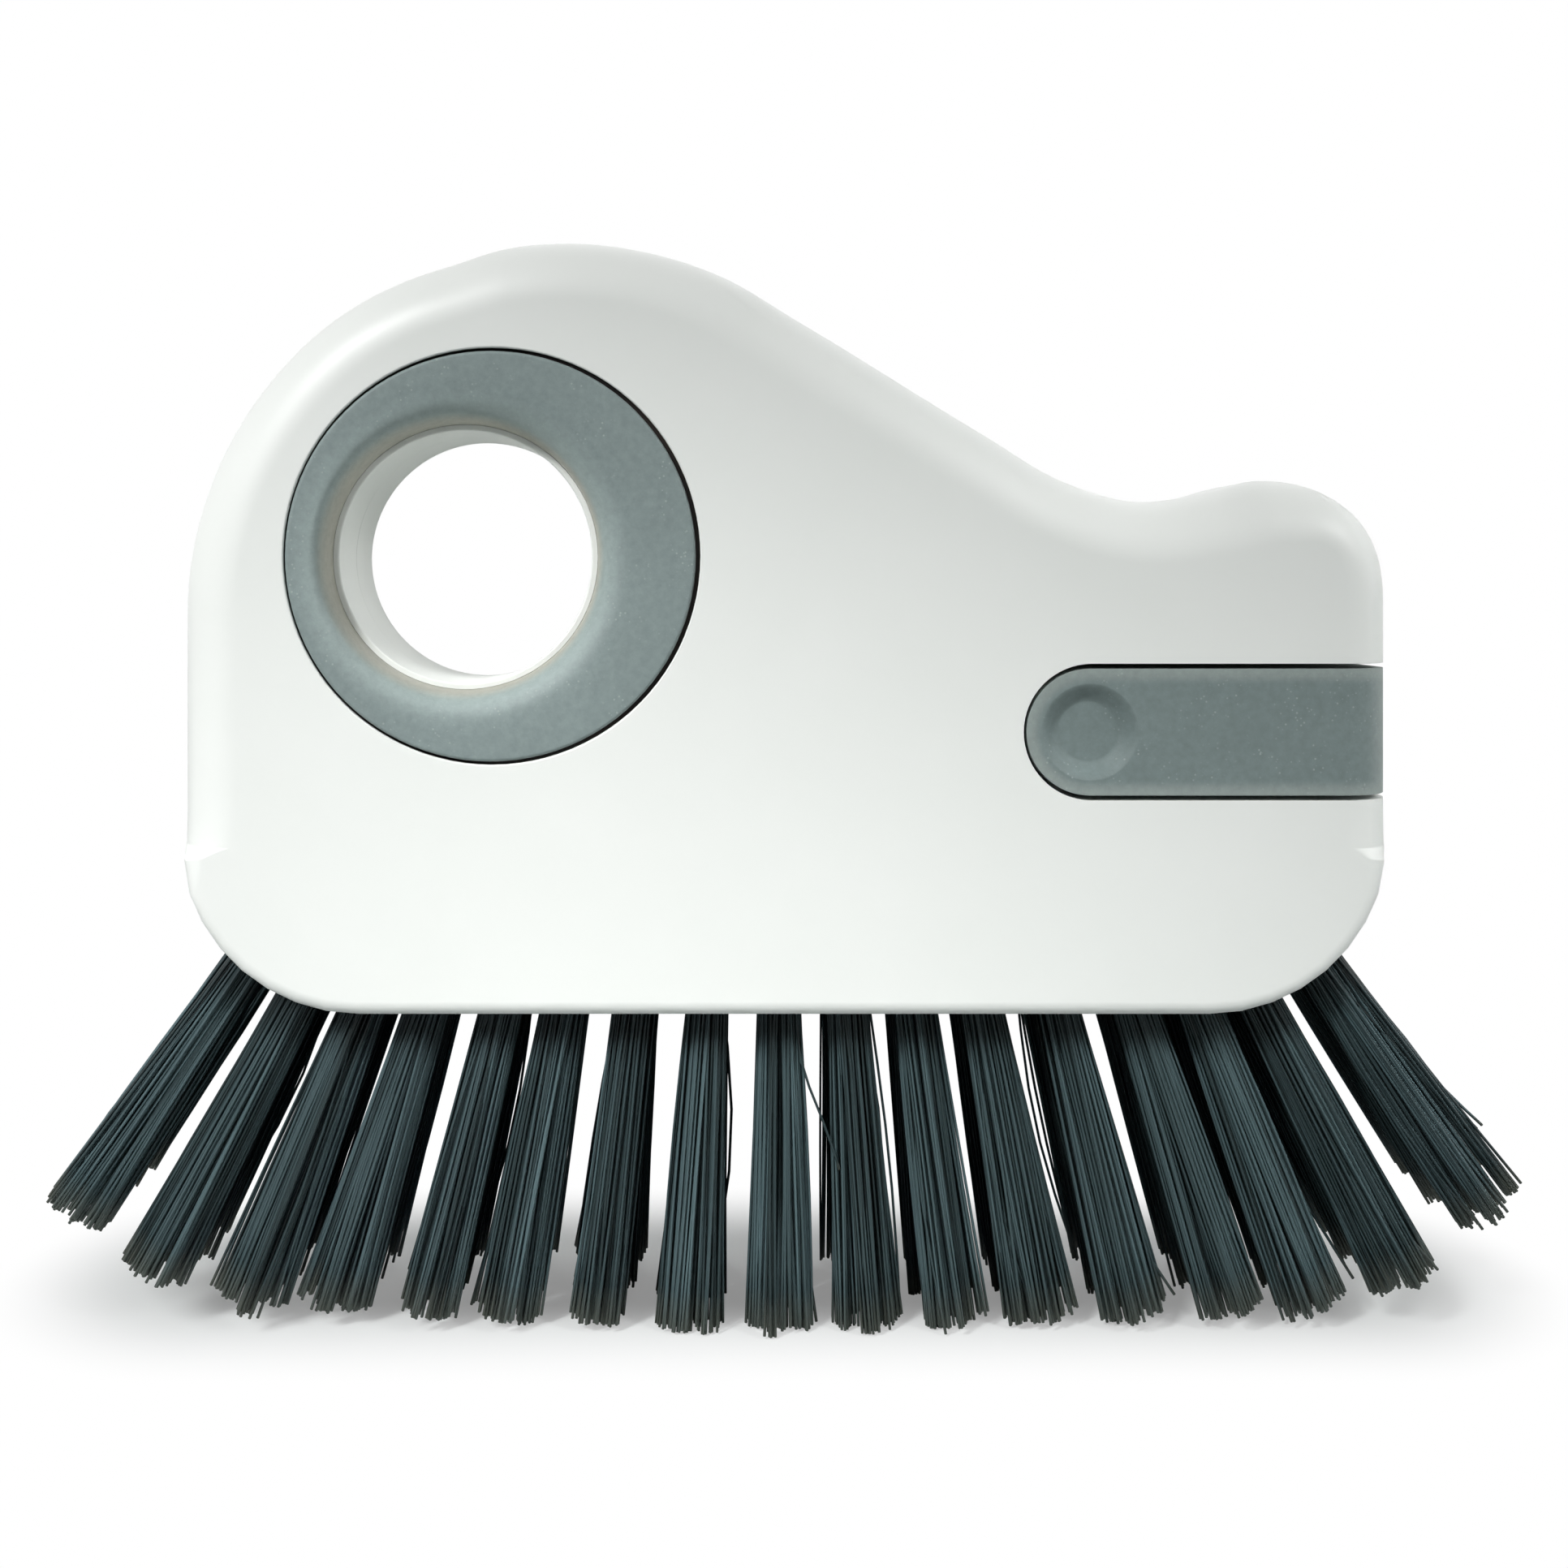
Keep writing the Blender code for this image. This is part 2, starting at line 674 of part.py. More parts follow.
def make_handle(name, side):
    """Half of the pull-out handle, its right end rounded and flush with the grip."""
    face = side * half_thickness
    outline = stadium(handle_center, handle_radius, half_grip + overrun)
    handle = prism(name, outline, side * parting, face, edge=handle_edge, steps=1, material=grey_rubber)
    combine(handle, body_solid(name + "_grip", -side * overrun, side), "INTERSECT")
    dimple = lofted(name + "_dimple", (
        (handle_center, slot_z, dimple_floor_diameter / 2, side * (half_thickness - dimple_depth)),
        (handle_center, slot_z, dimple_diameter / 2, face),
        (handle_center, slot_z, dimple_diameter / 2, side * (half_thickness + overrun)),
    ))
    combine(handle, dimple)
    room = handle_radius - rail_height - handle_wall / 2
    hollow_left = handle_left + handle_wall
    hollow_right = half_grip - handle_wall - grip_edge / 2
    near, far = sorted((-side * overrun, side * (inner_face - dimple_depth)))
    combine(handle, box(name + "_hollow", (hollow_left, near, slot_z - room), (hollow_right, far, slot_z + room)))
    rib_left = hollow_left + flange_thickness + 2 * seat_gap
    near, far = sorted((side * parting, side * (inner_face - dimple_depth + root_overlap)))
    rib = box(
        name + "_rib", (rib_left, near, slot_z - room - root_overlap / 2),
        (rib_left + handle_rib, far, slot_z + room + root_overlap / 2),
    )
    combine(handle, rib, "UNION")
    cut_handle(handle, name, hollow_left)
    return handle


def cut_handle(handle, name, hollow_left):
    """The grooves that the rails run in, and the hole that the stem comes out of."""
    groove = rail_width / 2 + seat_gap
    floor = slot_radius - rail_height - seat_gap
    right = half_grip - rail_end_margin + seat_gap
    for word, way in (("upper", 1), ("lower", -1)):
        heights = sorted((slot_z + way * floor, slot_z + way * (slot_radius + root_overlap)))
        combine(handle, box(
            f"{name}_{word}_groove", (handle_left - overrun, -groove, heights[0]), (right, groove, heights[1])
        ))
    reach = stem_width / 2 + seat_gap
    high = stem_height / 2 + seat_gap
    combine(handle, box(
        name + "_stem_hole", (handle_left - overrun, -reach, slot_z - high),
        (hollow_left + root_overlap, reach, slot_z + high),
    ))


def make_stem(name):
    """The stem of the narrow brush, clamped by its flange inside the handle."""
    room = handle_radius - rail_height - handle_wall / 2 - seat_gap
    stem = box(
        name, (stem_left, -stem_width / 2, slot_z - stem_height / 2),
        (stem_right - flange_thickness / 2, stem_width / 2, slot_z + stem_height / 2),
    )
    stem.data.materials.append(stem_plastic)
    flange = box(
        name + "_flange", (stem_right - flange_thickness, -flange_width / 2, slot_z - room),
        (stem_right, flange_width / 2, slot_z + room),
    )
    combine(stem, flange, "UNION")
    socket = box(
        name + "_socket",
        (stem_left - overrun, -crevice_width / 2 - seat_gap, slot_z - crevice_height / 2 - seat_gap),
        (stem_left + socket_depth, crevice_width / 2 + seat_gap, slot_z + crevice_height / 2 + seat_gap),
    )
    combine(stem, socket)
    return stem


def make_crevice_tuft(name):
    """The narrow brush: a flat root in the stem's socket, with two short rows of strands."""
    mesh = bmesh.new()
    depth = socket_depth - seat_gap
    bmesh.ops.create_grid(mesh, x_segments=crevice_rows, y_segments=crevice_columns, size=1 / 2)
    bmesh.ops.scale(mesh, vec=(crevice_height, crevice_width, 1), verts=list(mesh.verts))
    roots = list(mesh.faces)
    top = bmesh.ops.extrude_face_region(mesh, geom=roots)["geom"]
    deep = [item for item in top if isinstance(item, bmesh.types.BMVert)]
    bmesh.ops.translate(mesh, verts=deep, vec=(0, 0, depth))
    bmesh.ops.recalc_face_normals(mesh, faces=mesh.faces)
    roots = [face for face in mesh.faces if face.normal.z < -1 / 2]

    def spread(center):
        return Vector((center.x, center.y)) * crevice_spread_share

    grow_strands(mesh, roots, crevice_length, spread)
    place = Matrix.Translation((stem_left, 0, slot_z)) @ Matrix.Rotation(math.pi / 2, 4, "Y")
    bmesh.ops.transform(mesh, matrix=place, verts=list(mesh.verts))
    return finished(name, mesh, crevice_nylon)


make_shell("front_shell", -1)
make_shell("rear_shell", 1)
make_ring("front_grip_ring", -1)
make_ring("rear_grip_ring", 1)
make_block("brush_block")
for column_number in range(2 * columns_each_side + 1):
    make_column(f"tuft_column_{column_number + 1:02d}", column_number - columns_each_side)
front_half = make_handle("pull_handle_front", -1)
rear_half = make_handle("pull_handle_rear", 1)
crevice_stem = make_stem("crevice_stem")
crevice_tuft = make_crevice_tuft("crevice_tuft")

# The pull-out brush moves as one, along +X, from the middle of the handle's round end
slide = bpy.data.objects.new("pull_out_slide", None)
bpy.context.scene.collection.objects.link(slide)
slide.location = (handle_center, 0, slot_z)
for carried in (front_half, rear_half, crevice_stem, crevice_tuft):
    carried.parent = slide
    carried.matrix_parent_inverse = Matrix.Translation(slide.location).inverted()
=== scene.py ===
# %% [markdown]
# # Groove cleaning brush
# A hand brush of white polypropylene with soft grey grips: a ring round its finger hole, and a handle at
# the right that slides out with a narrow brush on it. A row of black tufts splays out below. The frame is
# the measured model, which fixes where everything lies and what moves. The cells below put the visible
# pieces in their places.
#
# Lengths are in metres. X runs along the brush, -Y faces the camera, and Z is up.

import math
import random

import bmesh
import bpy
from mathutils import Matrix, Vector


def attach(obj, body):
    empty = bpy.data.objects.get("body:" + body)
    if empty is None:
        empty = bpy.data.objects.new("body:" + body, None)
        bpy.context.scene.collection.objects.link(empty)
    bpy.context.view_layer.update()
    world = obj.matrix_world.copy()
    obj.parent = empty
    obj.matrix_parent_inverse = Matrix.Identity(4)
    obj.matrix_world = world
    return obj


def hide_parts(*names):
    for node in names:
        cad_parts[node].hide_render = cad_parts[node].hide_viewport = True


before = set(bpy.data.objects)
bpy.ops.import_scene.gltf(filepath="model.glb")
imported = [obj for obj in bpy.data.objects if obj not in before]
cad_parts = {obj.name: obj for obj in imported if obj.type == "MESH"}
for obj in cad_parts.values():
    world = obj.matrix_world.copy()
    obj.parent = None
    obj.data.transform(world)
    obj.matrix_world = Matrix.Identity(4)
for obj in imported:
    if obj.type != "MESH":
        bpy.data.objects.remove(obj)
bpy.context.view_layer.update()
mm = 0.001


def add_object(name, data):
    """A new object in the scene, at the origin."""
    thing = bpy.data.objects.new(name, data)
    bpy.context.scene.collection.objects.link(thing)
    return thing


# %% [markdown]
# ## Camera
# The picture was taken from close by, a little to the left of the brush's middle and level with the
# finger hole. The camera's axis doesn't meet the picture in its middle, so the lens is shifted instead of
# turned, which keeps upright edges upright, as they are in the photograph.

# %% Camera
picture_side = 1932  # pixels, both ways
focal_length = 2170  # pixels
axis_pixel = (905, 720)
sensor_width = 36.0

camera_data = bpy.data.cameras.new("front_camera")
camera_data.sensor_width = sensor_width
camera_data.lens = sensor_width * focal_length / picture_side
camera_data.shift_x = (picture_side / 2 - axis_pixel[0]) / picture_side
camera_data.shift_y = (axis_pixel[1] - picture_side / 2) / picture_side
camera_data.clip_start = 10 * mm
camera = add_object("front_camera", camera_data)
camera.location = (-4.95 * mm, -188.0 * mm, 75.6 * mm)
camera.rotation_euler = (math.pi / 2, 0, 0)
bpy.context.scene.camera = camera
print("lens in mm:", round(camera_data.lens, 2))

# %% [markdown]
# ## Sizes
# All sizes come from the measured frame. They stand before everything else, because the materials use
# some of them too: the grips have paler bands of painted light along their edges.

# %% Sizes of the body
body_thickness = 26.0 * mm
half_thickness = body_thickness / 2
wall = 2.4 * mm
inner_face = half_thickness - wall
seam_gap = 0.3 * mm  # between two pieces that lie against each other
parting = 0.03 * mm  # half the gap between the two halves, which are pressed together
seam_round = 0.25 * mm  # how far the halves' edges are rounded where they meet
overrun = 4.0 * mm  # how far a cutter runs past what it cuts
overlap = 1.0 * mm  # how far a joined form runs into its neighbour

head_bottom = 32.6 * mm
half_head = 60.5 * mm
head_corner = 18.0 * mm
head_edge = 1.5 * mm
ledge = 49.4 * mm
shoulder_height = 1.5 * mm
half_grip = 61.0 * mm
grip_height = 61.2 * mm
grip_edge = 6.5 * mm
flank_edge = 5.0 * mm  # on the grip's right flank, where the handle slides out
flat_half = half_head - head_corner
crest = ledge + grip_height

grip_shares = (
    (0.000, 0.379), (0.017, 0.578), (0.059, 0.739), (0.127, 0.876), (0.184, 0.937),
    (0.226, 0.965), (0.266, 0.990), (0.318, 1.000), (0.388, 0.984), (0.450, 0.943),
    (0.510, 0.873), (0.672, 0.675), (0.734, 0.602), (0.797, 0.567), (0.855, 0.581),
    (0.900, 0.602), (0.948, 0.584), (0.986, 0.518), (1.000, 0.405),
)
print("body in mm:", round(2 * half_grip / mm, 1), "wide,", round((crest - head_bottom) / mm, 1), "high")

# %% Sizes of the ring, the finger hole and the slot
slot_z = 60.9 * mm
slot_radius = 6.8 * mm
slot_left = 23.8 * mm
slot_center = slot_left + slot_radius
slot_wall = 2.0 * mm
handle_radius = 6.3 * mm
handle_left = 24.1 * mm
handle_center = handle_left + handle_radius
stem_width = 9.0 * mm
stem_height = 5.0 * mm
stem_room = (stem_width / 2 + seam_gap, stem_height / 2 + seam_gap)  # half the hole round it
rail_height = 1.3 * mm
rail_width = 2.0 * mm
rail_end_margin = 3.0 * mm

ring_x = -29.1 * mm
ring_z = 78.4 * mm
bore_x = -32.4 * mm
bore_radius = 12.9 * mm
ring_outer = 20.45 * mm
ring_shift = 0.15 * mm  # the ring sits a little to the left in its seat, so its right gap is wider
ring_inner = 13.8 * mm
ring_wall = 1.8 * mm
ring_dish = 4.8 * mm
sleeve_rim = 0.6 * mm
sleeve_wall = 2.4 * mm

block_split = 41.2 * mm
block_top = block_split - seam_gap + 4.8 * mm
peg_radius = 1.7 * mm
peg_length = 6.0 * mm
boss_radius = 3.2 * mm
pin_radius = 1.3 * mm
pin_drop = 2.2 * mm  # from the top of the block's room down to the pins
pin_share = 0.27  # the pins' distance from the middle, as a share of the head's length
print("slot from", slot_left / mm, "mm; hole at", bore_x / mm, ring_z / mm, "mm")

# %% [markdown]
# ## Colours and nodes
# Colours are written as hex codes, as a paint program shows them. Shaders work on linear light, so one
# function turns them. A second one adds a shader node, sets it up and links its inputs, which keeps each
# material short enough to read as a list of what the surface consists of.

# %% Helpers for materials
def linear(code):
    """A hex colour such as #EDF1ED as a shader takes it."""
    shares = [int(code[at:at + 2], 16) / 255 for at in (1, 3, 5)]
    return tuple(s / 12.92 if s <= 0.04045 else ((s + 0.055) / 1.055) ** 2.4 for s in shares) + (1.0,)


def new_material(name):
    """An empty material, and its node tree."""
    material = bpy.data.materials.new(name)
    material.use_nodes = True
    material.node_tree.nodes.clear()
    return material, material.node_tree


def add_node(tree, kind, settings=None, inputs=None):
    """A new node with its settings, each input either a value or another node's output."""
    node = tree.nodes.new(kind)
    for name, value in (settings or {}).items():
        setattr(node, name, value)
    for name, value in (inputs or {}).items():
        if isinstance(value, bpy.types.NodeSocket):
            tree.links.new(value, node.inputs[name])
        else:
            node.inputs[name].default_value = value
    return node


# %% [markdown]
# ## Studio
# The brush stands on its bristles on a pale sheet. Two lamps from the left front light the face, the
# first mostly its lower left part, and a weak one from the right front takes the edge off the shadows
# between the tufts. They are narrow beams, so that the face grows darker towards the upper right, as in
# the photograph. Two wide ones light the right end and the top, and a low one the back. The sheet and
# the world show white to the camera, while the world lights the brush at its own lower level. The sheet
# keeps part of its real shading close to the brush, so that there is still a shadow under it.

# %% Floor
sheet_reach = 1.5  # metres from the brush to the sheet's edge
sheet_share = 0.25  # how much of the sheet the camera sees as plain white close to the brush
shadow_middle = (0.0, 0.006, 0.0)  # metres: the light comes from the front, so the shadow lies further back
shadow_half = (0.058, 0.0, 0.0)  # metres: along X the shadow is as long as the brush
shadow_reach = (0.008, 0.028)  # metres from that line, between which the sheet fades to plain white

paper, tree = new_material("pale_paper_sheet")
paths = add_node(tree, "ShaderNodeLightPath").outputs
off = add_node(tree, "ShaderNodeTexCoord").outputs["Object"]
for operation, value in (
    ("SUBTRACT", shadow_middle), ("ABSOLUTE", (0, 0, 0)), ("SUBTRACT", shadow_half), ("MAXIMUM", (0, 0, 0)),
):
    off = add_node(tree, "ShaderNodeVectorMath", {"operation": operation}, {0: off, 1: value}).outputs[0]
off = add_node(tree, "ShaderNodeVectorMath", {"operation": "LENGTH"}, {0: off})
plain_share = add_node(tree, "ShaderNodeMapRange", {"interpolation_type": "SMOOTHSTEP"}, {
    "Value": off.outputs["Value"], "From Min": shadow_reach[0], "From Max": shadow_reach[1],
    "To Min": sheet_share, "To Max": 1.0,
})
white_share = add_node(
    tree, "ShaderNodeMath", {"operation": "MULTIPLY"},
    {0: paths["Is Camera Ray"], 1: plain_share.outputs["Result"]},
)
matte_paper = add_node(tree, "ShaderNodeBsdfDiffuse", None, {"Color": linear("#CDD1D0")})
plain_white = add_node(tree, "ShaderNodeEmission", None, {"Color": linear("#FFFFFF"), "Strength": 1.0})
seen_paper = add_node(
    tree, "ShaderNodeMixShader", None,
    {0: white_share.outputs[0], 1: matte_paper.outputs[0], 2: plain_white.outputs[0]},
)
add_node(tree, "ShaderNodeOutputMaterial", None, {"Surface": seen_paper.outputs[0]})

mesh = bmesh.new()
bmesh.ops.create_grid(mesh, x_segments=1, y_segments=1, size=sheet_reach)
sheet_data = bpy.data.meshes.new("paper_sheet")
mesh.to_mesh(sheet_data)
mesh.free()
sheet_data.materials.append(paper)
sheet = add_object("paper_sheet", sheet_data)
print("sheet:", 2 * sheet_reach, "m wide")

# %% World
world = bpy.data.worlds.new("studio")
bpy.context.scene.world = world
world.use_nodes = True
tree = world.node_tree
tree.nodes.clear()
paths = add_node(tree, "ShaderNodeLightPath").outputs
seen = paths["Is Camera Ray"]
for ray in ("Is Glossy Ray", "Is Transmission Ray"):
    seen = add_node(tree, "ShaderNodeMath", {"operation": "MAXIMUM"}, {0: seen, 1: paths[ray]}).outputs[0]
room_light = add_node(tree, "ShaderNodeBackground", None, {"Color": linear("#F4F8F8"), "Strength": 0.19})
backdrop = add_node(tree, "ShaderNodeBackground", None, {"Color": linear("#FFFFFF"), "Strength": 1.0})
both = add_node(
    tree, "ShaderNodeMixShader", None, {0: seen, 1: room_light.outputs[0], 2: backdrop.outputs[0]}
)
add_node(tree, "ShaderNodeOutputWorld", None, {"Surface": both.outputs[0]})
print("world:", world.name)

# %% Lamps
lamps = {
    # name: (place in metres, width, power in watts, spread in degrees, what it points at)
    "left_softbox": ((-0.30, -0.30, 0.32), 0.12, 0.051, 24, (-0.062, -0.01, 0.036)),
    "key_softbox": ((-0.22, -0.30, 0.36), 0.08, 0.029, 26, (0.03, -0.01, 0.0)),
    "front_softbox": ((0.34, -0.26, 0.30), 0.12, 0.026, 24, (0.03, -0.01, 0.02)),
    "right_softbox": ((0.45, 0.0, 0.22), 0.34, 0.42, 180, (0.0, 0.0, 0.06)),
    "back_softbox": ((0.05, 0.30, 0.40), 0.34, 0.24, 180, (0.0, 0.0, 0.06)),
    "rear_softbox": ((-0.26, 0.50, 0.12), 0.14, 0.048, 20, (0.0, 0.0, 0.055)),
}
for name, (place, width, power, spread, target) in lamps.items():
    lamp_data = bpy.data.lights.new(name, "AREA")
    lamp_data.shape = "SQUARE"
    lamp_data.size = width
    lamp_data.energy = power
    lamp_data.spread = math.radians(spread)
    lamp = add_object(name, lamp_data)
    lamp.location = place
    lamp.rotation_euler = (Vector(target) - lamp.location).to_track_quat("-Z", "Y").to_euler()
    lamp.visible_camera = False
    lamp.visible_glossy = name != "rear_softbox"  # low behind, it would only glare on the level top faces
bpy.context.scene.view_settings.view_transform = "Standard"
print("lamps:", ", ".join(lamps))

# %% [markdown]
# ## White body plastic
# The shells are injection-moulded polypropylene with a satin finish, a cool white. What gives it away as
# a moulding are a faint unevenness of the gloss and a very fine grain from the mould's surface. Both come
# from noise, with its scale worked out from a real size. In the narrow gap round the ring so little light
# arrives that it shows as a dark brown line, so the walls of that gap get that colour on both sides.

# %% White polypropylene
gap_depth = (0.2 * mm, 0.6 * mm)  # below the face: where the gap's shade begins, and where it is full
gap_reach = (0.45 * mm, 0.35 * mm)  # from the gap's middle: the same


def per_mm(size):
    """The scale of a pattern with features of this many millimetres."""
    return 1 / (size * mm)


def distance_from(tree, place, centre, line=False):
    """From the front, the distance to a centre, or to the level line to its right."""
    steps = [("SUBTRACT", (centre[0], 0.0, centre[1])), ("MULTIPLY", (1, 0, 1))]
    if line:
        steps.append(("MINIMUM", (0, 0, 1)))
    for operation, value in steps:
        node = add_node(tree, "ShaderNodeVectorMath", {"operation": operation}, {0: place, 1: value})
        place = node.outputs[0]
    return add_node(tree, "ShaderNodeVectorMath", {"operation": "LENGTH"}, {0: place}).outputs["Value"]


def gap_shade(tree, place, colour):
    """A colour, nearly black on the walls of the gap round the ring, just below the face."""
    level = add_node(tree, "ShaderNodeSeparateXYZ", None, {"Vector": place}).outputs["Y"]
    off = add_node(
        tree, "ShaderNodeMath", {"operation": "SUBTRACT"},
        {0: distance_from(tree, place, (ring_x, ring_z)), 1: ring_outer + seam_gap / 2},
    ).outputs[0]
    shares = []
    for value, (start, end) in ((off, gap_reach), (level, [half_thickness - depth for depth in gap_depth])):
        value = add_node(tree, "ShaderNodeMath", {"operation": "ABSOLUTE"}, {0: value})
        share = add_node(tree, "ShaderNodeMapRange", {"interpolation_type": "SMOOTHSTEP"}, {
            "Value": value.outputs[0], "From Min": start, "From Max": end,
        })
        shares.append(share.outputs["Result"])
    inside = add_node(tree, "ShaderNodeMath", {"operation": "MULTIPLY"}, dict(enumerate(shares)))
    return add_node(
        tree, "ShaderNodeMix", {"data_type": "RGBA"},
        {"Factor": inside.outputs[0], "A": colour, "B": linear("#2B2119")},
    ).outputs["Result"]


def moulded_white(name, colour, shaded_colour, roughness):
    """Satin polypropylene with a faint mottle and a fine mould grain."""
    material, tree = new_material(name)
    place = add_node(tree, "ShaderNodeTexCoord").outputs["Object"]
    mottle = add_node(tree, "ShaderNodeTexNoise", None, {"Vector": place, "Scale": per_mm(14), "Detail": 3.0})
    tint = add_node(
        tree, "ShaderNodeMix", {"data_type": "RGBA"},
        {"Factor": mottle.outputs["Fac"], "A": linear(shaded_colour), "B": linear(colour)},
    )
    gloss = add_node(
        tree, "ShaderNodeMapRange", None,
        {"Value": mottle.outputs["Fac"], "To Min": roughness - 0.05, "To Max": roughness + 0.05},
    )
    # The real grain is near 0.1 mm. It is drawn at 0.35 mm, the finest that shows from here.
    grain = add_node(
        tree, "ShaderNodeTexNoise", None, {"Vector": place, "Scale": per_mm(0.35), "Detail": 2.0}
    )
    relief = add_node(
        tree, "ShaderNodeBump", None,
        {"Strength": 0.10, "Distance": 0.02 * mm, "Height": grain.outputs["Fac"]},
    )
    shader = add_node(tree, "ShaderNodeBsdfPrincipled", None, {
        "Base Color": gap_shade(tree, place, tint.outputs["Result"]),
        "Roughness": gloss.outputs["Result"], "IOR": 1.49, "Normal": relief.outputs["Normal"],
    })
    add_node(tree, "ShaderNodeOutputMaterial", None, {"Surface": shader.outputs[0]})
    return material


white_polypropylene = moulded_white("satin_white_polypropylene", "#F3F5F2", "#EEF1ED", 0.42)
block_polypropylene = moulded_white("white_polypropylene_block", "#E9EBE8", "#E3E6E2", 0.48)
stem_polypropylene = moulded_white("white_polypropylene_stem", "#ECEEEB", "#E6E9E5", 0.45)
print("plastics:", white_polypropylene.name, block_polypropylene.name, stem_polypropylene.name)

# %% [markdown]
# ## Grey soft grip
# The rings and the sliding handle are a soft rubber-like elastomer, moulded matt so that it doesn't slip.
# It scatters light broadly and catches fine pale dust, which shows as scattered specks. The specks are
# the cores of a cell pattern, kept only where a wide noise allows them, so that they lie unevenly. Each
# grip also has paler bands of painted light, from a distance to its edge: on the ring they lift the roll
# into the finger hole out of shade and stand in for light shining through its thin rim, and on the
# handle they are a painted highlight along the rounded edges.

# %% Grey elastomer
def painted(tree, under, over, value, start, end, share, kind="SMOOTHSTEP"):
    """A colour painted over another, up to a share that it reaches where a value gets to its end."""
    thickness = add_node(tree, "ShaderNodeMapRange", {"interpolation_type": kind}, {
        "Value": value, "From Min": start, "From Max": end, "To Max": share,
    })
    return add_node(
        tree, "ShaderNodeMix", {"data_type": "RGBA"},
        {"Factor": thickness.outputs["Result"], "A": under, "B": linear(over)},
    ).outputs["Result"]


def soft_elastomer(name, colour, shaded_colour, bands):
    """Matt rubber-like plastic with dust specks, and paler bands of painted light along its edges."""
    material, tree = new_material(name)
    place = add_node(tree, "ShaderNodeTexCoord").outputs["Object"]
    clouds = add_node(tree, "ShaderNodeTexNoise", None, {"Vector": place, "Scale": per_mm(6), "Detail": 4.0})
    tint = add_node(
        tree, "ShaderNodeMix", {"data_type": "RGBA"},
        {"Factor": clouds.outputs["Fac"], "A": linear(shaded_colour), "B": linear(colour)},
    ).outputs["Result"]
    # Painted light: the paler bands that each grip lists stand in for light, not for the elastomer's own
    # colour.
    for value, start, end, share, band_colour in bands(tree, place):
        tint = painted(tree, tint, band_colour, value, start, end, share)
    mottle = add_node(
        tree, "ShaderNodeTexNoise", None,
        {"Vector": place, "Scale": per_mm(0.8), "Detail": 5.0, "Roughness": 0.7},
    )
    bright = add_node(
        tree, "ShaderNodeMapRange", None,
        {"Value": mottle.outputs["Fac"], "From Min": 0.25, "From Max": 0.75, "To Min": 0.87, "To Max": 1.13},
    )
    tint = add_node(
        tree, "ShaderNodeVectorMath", {"operation": "SCALE"}, {0: tint, "Scale": bright.outputs["Result"]}
    )
    cells = add_node(tree, "ShaderNodeTexVoronoi", None, {"Vector": place, "Scale": per_mm(0.55)})
    core = add_node(tree, "ShaderNodeMapRange", {"interpolation_type": "SMOOTHSTEP"}, {
        "Value": cells.outputs["Distance"], "From Min": 0.26, "From Max": 0.08, "To Max": 0.6,
    })
    drift = add_node(tree, "ShaderNodeTexNoise", None, {"Vector": place, "Scale": per_mm(3.5)})
    patch = add_node(tree, "ShaderNodeMapRange", {"interpolation_type": "SMOOTHSTEP"}, {
        "Value": drift.outputs["Fac"], "From Min": 0.46, "From Max": 0.66,
    })
    speck = add_node(
        tree, "ShaderNodeMath", {"operation": "MULTIPLY"},
        {0: core.outputs["Result"], 1: patch.outputs["Result"]},
    )
    dusted = add_node(
        tree, "ShaderNodeMix", {"data_type": "RGBA"},
        {"Factor": speck.outputs[0], "A": tint.outputs[0], "B": linear("#A9B3B1")},
    )
    grain = add_node(tree, "ShaderNodeTexNoise", None, {"Vector": place, "Scale": per_mm(0.4), "Detail": 3.0})
    relief = add_node(
        tree, "ShaderNodeBump", None,
        {"Strength": 0.35, "Distance": 0.03 * mm, "Height": grain.outputs["Fac"]},
    )
    shader = add_node(tree, "ShaderNodeBsdfPrincipled", None, {
        "Base Color": gap_shade(tree, place, dusted.outputs["Result"]), "Roughness": 0.60, "IOR": 1.50,
        "Sheen Weight": 0.12, "Sheen Roughness": 0.45, "Normal": relief.outputs["Normal"],
    })
    add_node(tree, "ShaderNodeOutputMaterial", None, {"Surface": shader.outputs[0]})
    return material


def ring_painted_light_bands(tree, place):
    """Painted light beside the sleeve's rim, where the ring is thin: paler bands stand in for the white
    behind shining through, and lift the roll into the hole out of its shade.
    """
    to_bore = distance_from(tree, place, (bore_x, ring_z))
    return [
        (to_bore, ring_inner + 3.4 * mm, ring_inner + 0.4 * mm, 0.70, "#A5B3B1"),
        (to_bore, ring_inner + 0.7 * mm, ring_inner - 0.2 * mm, 0.70, "#B2AC9C"),
    ]


def handle_painted_highlight_bands(tree, place):
    """Painted highlight: a paler border all round the handle, where its rounded edges catch light, with its
    soft edge about a millimetre inside.
    """
    to_middle = distance_from(tree, place, (handle_center, slot_z), line=True)
    along = add_node(tree, "ShaderNodeSeparateXYZ", None, {"Vector": place}).outputs["X"]
    return [
        (to_middle, handle_radius - 1.7 * mm, handle_radius - 0.3 * mm, 0.55, "#A0A9A5"),
        (along, half_grip - 3.0 * mm, half_grip - 0.9 * mm, 0.5, "#A0A9A5"),
    ]


ring_elastomer = soft_elastomer("grey_soft_touch_ring", "#859392", "#7C8988", ring_painted_light_bands)
handle_elastomer = soft_elastomer("grey_soft_touch_handle", "#788685", "#6F7D7C", handle_painted_highlight_bands)
print("grips:", ring_elastomer.name, handle_elastomer.name)
